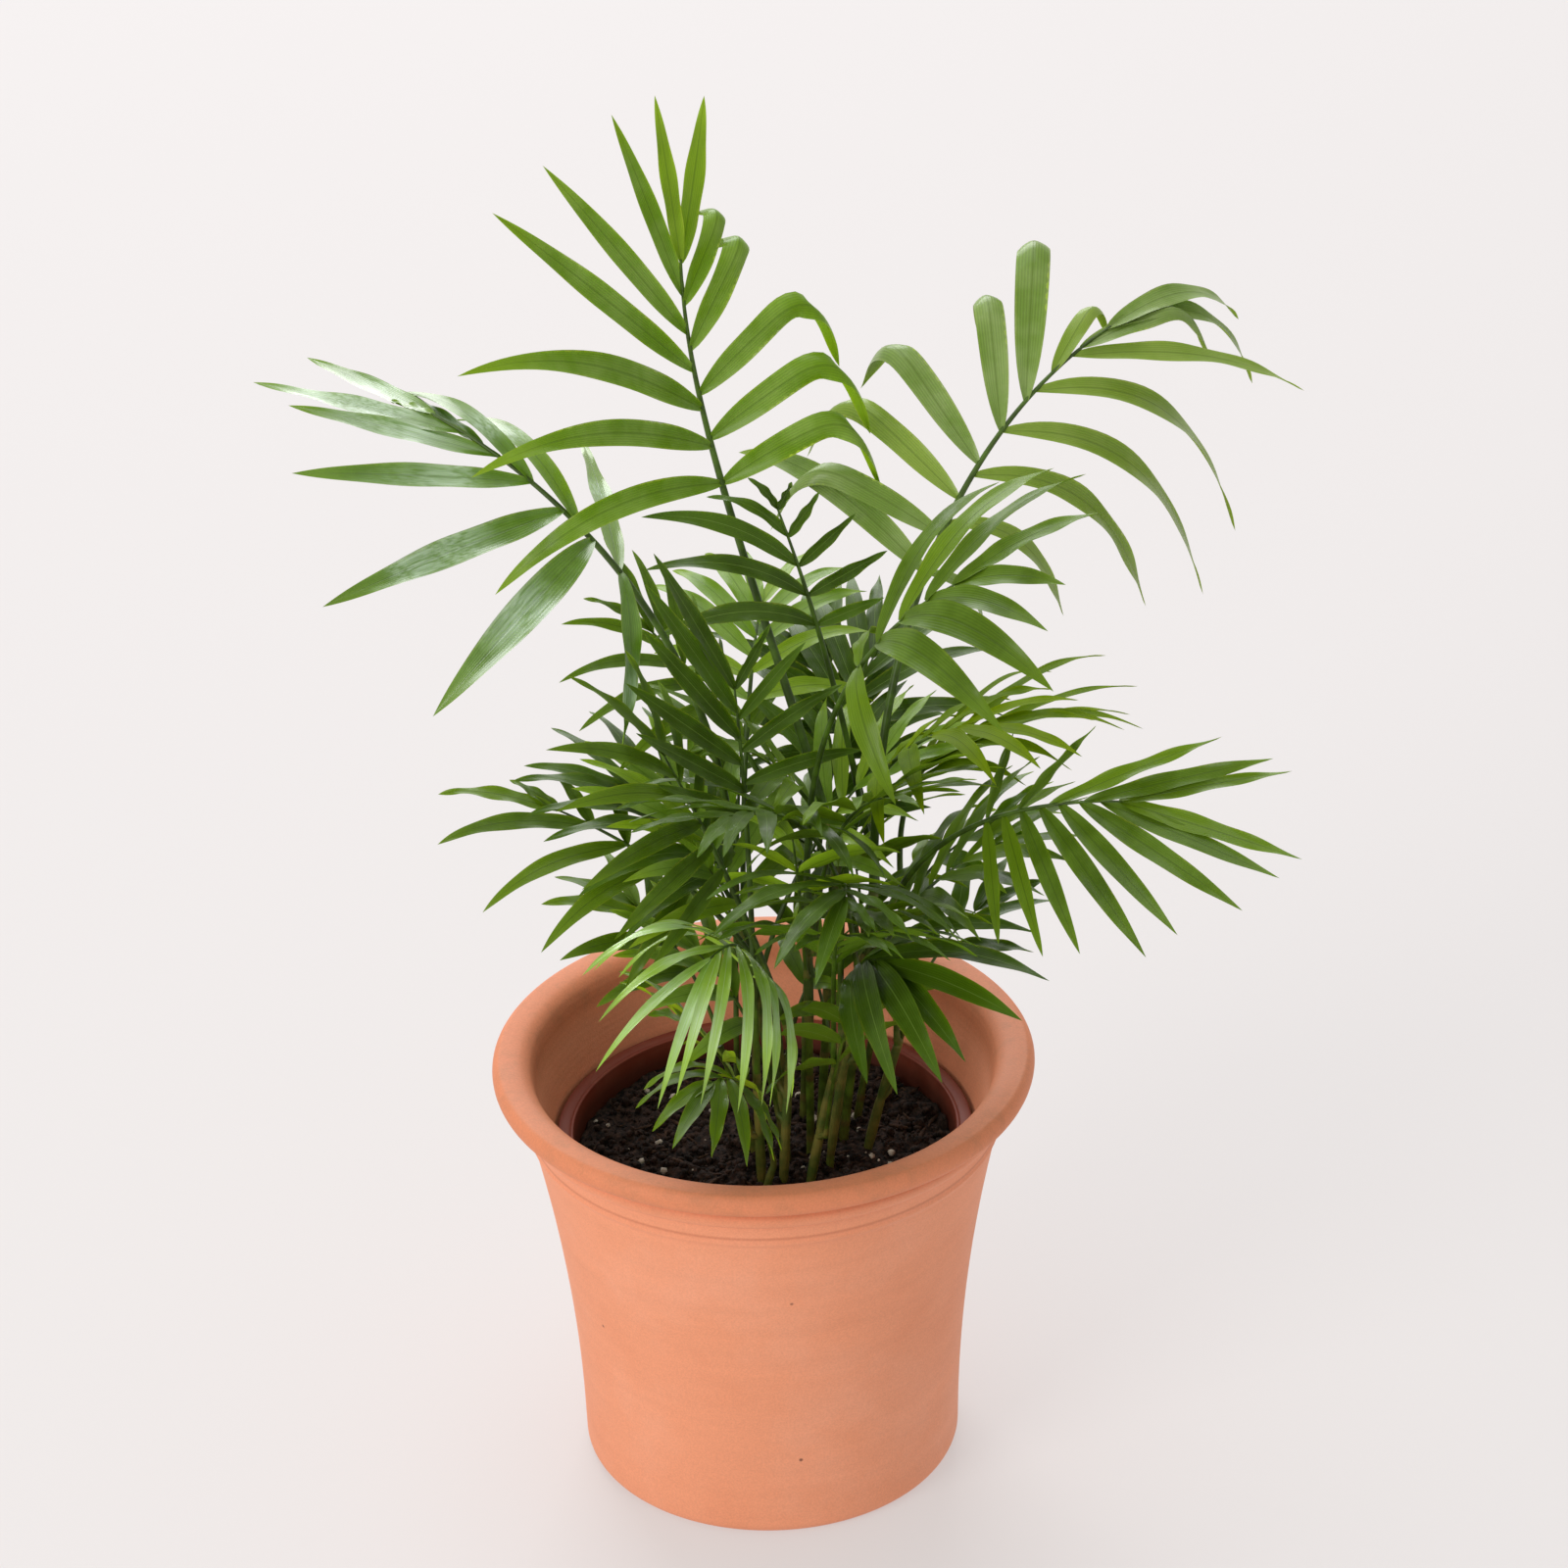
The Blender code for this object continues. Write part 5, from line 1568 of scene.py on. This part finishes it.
@dataclass
class Crown:
    """All fronds, laid out so that no rib or leaflet runs into another."""

    fronds: list[Frond] = field(default_factory=lambda: [*SHOWN, *INNER.fronds(), *LOW.fronds()])
    cane_trees: list[BVHTree] = field(default_factory=list)
    sheath: float = 0.034           # length of a petiole's papery base
    sheath_thickness: float = 0.00012
    sheath_swelling: float = 0.0004
    sheath_off: float = 0.06        # how far it stands off the cane, as a share of the radius

    def find_canes(self) -> None:
        """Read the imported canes, which the fronds keep clear of."""
        for letter in CANES:
            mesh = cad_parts[f"stem_{letter}"].data
            corners = [vertex.co for vertex in mesh.vertices]
            faces = [list(face.vertices) for face in mesh.polygons]
            self.cane_trees.append(BVHTree.FromPolygons(corners, faces))

    def clear_ribs(self) -> dict[str, BVHTree]:
        """Turn each side frond on to the first heading where its rib meets no other.

        Returns:
            A search tree over each frond's rib, by the frond's name.
        """
        placed, trees = [], {}
        for frond in self.fronds:
            for turned_by in TURNS if frond.down else (0,):
                tried = replace(frond, heading=frond.heading + turned_by)
                hull = tree_of(*tried.rib_hull(RIB_CLEARANCE))
                if not any(hull.overlap(other) for other in [*self.cane_trees, *trees.values()]):
                    break
            placed.append(tried)
            trees[frond.name] = tree_of(*tried.rib_hull(0.0))
        self.fronds = placed
        return trees

    def clear_leaflet(self, frond: Frond, sign: int, index: int, rib: Path,
                      obstacles: list[BVHTree]) -> Leaflet | None:
        """Find the first shape of a leaflet that stays clear of everything else.

        Args:
            frond, sign, index: the frond, its side (-1 for left, 1 for right) and the place there.
            rib: the rib's points and directions.
            obstacles: what the leaflet keeps clear of.

        Returns:
            The leaflet, or None if no shape that is tried stays clear.
        """
        row = frond.left if sign < 0 else frond.right
        for shift in SHIFTS:
            leaf = frond.leaflet(row, sign, index, shift, rib)
            hull = tree_of(*leaf.hull(LEAF_CLEARANCE))
            if not any(hull.overlap(other) for other in obstacles):
                return leaf
        return None

    def lay_out(self) -> dict[str, list[Leaflet]]:
        """Lay out every rib first, then the leaflets of one frond after another.

        Returns:
            Each frond's leaflets, by the frond's name.
        """
        rib_trees = self.clear_ribs()
        laid, leaf_trees = {}, {}
        for frond in self.fronds:
            rib = frond.rib()
            others = [tree for name, tree in rib_trees.items() if name != frond.name]
            obstacles = self.cane_trees + others + sum(leaf_trees.values(), [])
            leaves = [self.clear_leaflet(frond, sign, index, rib, obstacles)
                      for sign, row in ((-1, frond.left), (1, frond.right)) for index in range(row.count)]
            laid[frond.name] = [leaf for leaf in leaves if leaf is not None]
            leaf_trees[frond.name] = [tree_of(*leaf.hull(0.0)) for leaf in laid[frond.name]]
        return laid

    def rib_shell(self, frond: Frond) -> Shell:
        """The fine rib, a tube of ten sides."""
        return tube(*frond.rib(), frond.rib_radii(np.linspace(0, 1, RIB_STEPS + 1)), 10)

    def sheath_shell(self, frond: Frond) -> Shell:
        """Make the papery base of a petiole, which wraps its cane: a tube round the cane that swells
        in its middle by a power of a sine, and narrows on to the petiole.

        Args:
            frond: the petiole's frond.

        Returns:
            The closed tube.
        """
        cane = CANES[frond.cane]
        level = cane.top[2] - frond.down
        heights = np.linspace(max(level - self.sheath, SOIL_TOP + 0.004), level - 0.001, 22)
        line = np.vstack([cane.point(heights), frond.rib()[0][1:5]])
        on_cane = cane.thickness(heights) * (cane.slimness + self.sheath_off)
        close = np.append(on_cane, frond.rib_radii(np.linspace(0.02, 0.08, 4)))
        share = np.clip(np.linspace(0, 1, len(line)) * 1.05, 0, 1)
        radii = close + self.sheath_swelling * np.sin(math.pi * share) ** 0.7 + self.sheath_thickness
        return tube(line, unit(np.gradient(line, axis=0)), radii, 12)

    def dress(self) -> None:
        """Put ribs, sheaths and leaflets into the scene, the inner fronds joined tone by tone."""
        self.find_canes()
        laid = self.lay_out()
        sides = {tone: self.tissue(tone) for tone in Tone}
        for frond in self.fronds[:len(SHOWN)]:
            self.leaf_piece(f"{frond.name}_leaflets", [frond], laid, sides)
        for tone in (*INNER_TONES, Tone.YELLOW):
            group = [frond for frond in self.fronds[len(SHOWN):] if frond.tone is tone]
            self.leaf_piece(f"inner_leaflets_{tone.value}", group, laid, sides)
        rib = GreenCane("leaf_rib_rind", "#33480D", "#4C6A16").material()
        Shell.joined([self.rib_shell(frond) for frond in self.fronds]).piece("frond_ribs", [rib], "stem")
        paper = GreenCane("papery_sheath", "#3F5414", "#6C6A2A", 0.6).material()
        Shell.joined([self.sheath_shell(frond) for frond in self.fronds]).piece(
            "leaf_sheaths", [paper], "stem")

    def tissue(self, tone: Tone) -> list[bpy.types.Material]:
        """Make the materials of one tone. Younger leaflets are nearer to the colour of the tip, and
        undersides are duller.

        Args:
            tone: the tone.

        Returns:
            The upper and under side's materials of its older leaflets, then of its younger ones.
        """
        look = TONES[tone]
        made = []
        for age, share in (("older", 0.0), ("younger", YOUNGER)):
            tints = (look.green, look.cloud, look.under)
            green, cloud, under = (mixed(tint, look.tip, share) for tint in tints)
            made += [LeafTissue(f"leaf_upper_{tone.value}_{age}", green, cloud, look.midrib, look.tip,
                                look.roughness, look.wax, look.clay_bloom_and_leaf_painted_sheen),
                     # the underside's green is partly painted light shining through the leaflet
                     LeafTissue(f"leaf_under_{tone.value}_{age}", under, cloud, look.midrib, look.tip,
                                look.roughness + UNDER_DULLER, 0.0)]
        return [tissue.material() for tissue in made]

    def leaf_piece(self, name: str, fronds: list[Frond], laid: dict, sides: dict) -> None:
        """Join the leaflets of some fronds of one tone into one piece.

        Args:
            name: the piece's name.
            fronds: the fronds, which all have the same tone.
            laid: each frond's leaflets.
            sides: each tone's four materials.
        """
        chance = random.Random(name)
        blades = [leaf.blade((0, 1) if chance.random() < OLDER_SHARE else (2, 3))
                  for frond in fronds for leaf in laid[frond.name]]
        tone = fronds[0].tone
        nodes = tuple(frond.name for frond in fronds if frond.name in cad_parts)
        Shell.joined(blades).piece(name, sides[tone], TONES[tone].slot, nodes)


@dataclass
class CaneClump:
    """The canes that stand close together in the compost."""

    def dress(self) -> None:
        """Put the canes into the scene in one piece."""
        rind = GreenCane("ringed_cane_rind", "#33480D", "#56741E", ring_mm=34.0).material()
        Shell.joined([cane.build() for cane in CANES.values()]).piece(
            "ringed_canes", [rind], "stem", tuple(f"stem_{letter}" for letter in CANES))


@dataclass(frozen=True)
class SoftBox:
    """A square lamp that faces the middle of the plant."""

    name: str
    at: tuple[float, float, float]
    size: float                     # length of its side
    watts: float
    tint: str
    aim: tuple[float, float, float] = (0, 0, 0.3)

    def hang(self) -> None:
        """Put the lamp into the scene."""
        light = bpy.data.lights.new(self.name, "AREA")
        light.shape = "SQUARE"
        light.size = self.size
        light.energy = self.watts
        light.color = linear(self.tint)[:3]
        lamp = bpy.data.objects.new(self.name, light)
        lamp.location = self.at
        lamp.rotation_euler = (Vector(self.aim) - Vector(self.at)).to_track_quat("-Z", "Y").to_euler()
        bpy.context.scene.collection.objects.link(lamp)


@dataclass
class Studio:
    """A pale floor, soft light from the upper left and from behind, and the camera."""

    lamps: tuple[SoftBox, ...] = (SoftBox("key_soft_box", (-1.8, -1.8, 1.25), 1.2, 30, "#FFFCF8"),
                                  SoftBox("top_soft_box", (-0.1, 0.5, 2.4), 1.5, 15, "#FCFCFF"),
                                  SoftBox("back_soft_box", (-0.7, 4.2, 2.8), 3.3, 158, "#FCFCFF"))
    room_tint: str = "#FBFAF9"
    room_strength: float = 0.60
    camera_at: tuple[float, float, float] = (0.0127, -2.286, 1.6346)
    camera_down: float = 29.3       # degrees below level
    camera_roll: float = 1.39
    lens: float = 133.97            # millimetres, on a sensor 36 wide
    seen: Pair = (0.05, 60)         # nearest and furthest that the camera sees
    floor_size: float = 30.0

    def floor(self) -> None:
        """Lay the floor just under the pot."""
        half = self.floor_size / 2
        mesh = bpy.data.meshes.new("studio_floor")
        corners = [(-half, -half, 0), (half, -half, 0), (half, half, 0), (-half, half, 0)]
        mesh.from_pydata(corners, [], [(0, 1, 2, 3)])
        mesh.materials.append(LitSheet().material())
        floor = bpy.data.objects.new("studio_floor", mesh)
        bpy.context.scene.collection.objects.link(floor)

    def room(self) -> None:
        """Light the whole room evenly."""
        world = bpy.data.worlds.new("studio_room")
        world.use_nodes = True
        feed(world.node_tree, world.node_tree.nodes["Background"],
             {"Color": linear(self.room_tint), "Strength": self.room_strength})
        bpy.context.scene.world = world

    def camera(self) -> None:
        """Set the camera at the photograph's viewing angle."""
        data = bpy.data.cameras.new("studio_camera")
        data.lens = self.lens
        data.clip_start, data.clip_end = self.seen
        camera = bpy.data.objects.new("studio_camera", data)
        camera.location = self.camera_at
        tilt = Quaternion((1, 0, 0), math.radians(90 - self.camera_down))
        roll = Quaternion((0, 0, 1), math.radians(-self.camera_roll))
        camera.rotation_euler = (tilt @ roll).to_euler()
        bpy.context.scene.collection.objects.link(camera)
        bpy.context.scene.camera = camera

    def dress(self) -> None:
        """Set up floor, light and camera."""
        self.floor()
        self.room()
        for lamp in self.lamps:
            lamp.hang()
        bpy.context.scene.view_settings.view_transform = "Standard"
        self.camera()


def main() -> None:
    """Build and dress the part, piece by piece, and set up the studio."""
    logging.basicConfig(level=logging.INFO, format="%(message)s")
    TerracottaPot().dress()
    NurseryPot().dress()
    CompostBed().dress()
    CaneClump().dress()
    Crown().dress()
    Studio().dress()


if __name__ == "__main__":
    main()
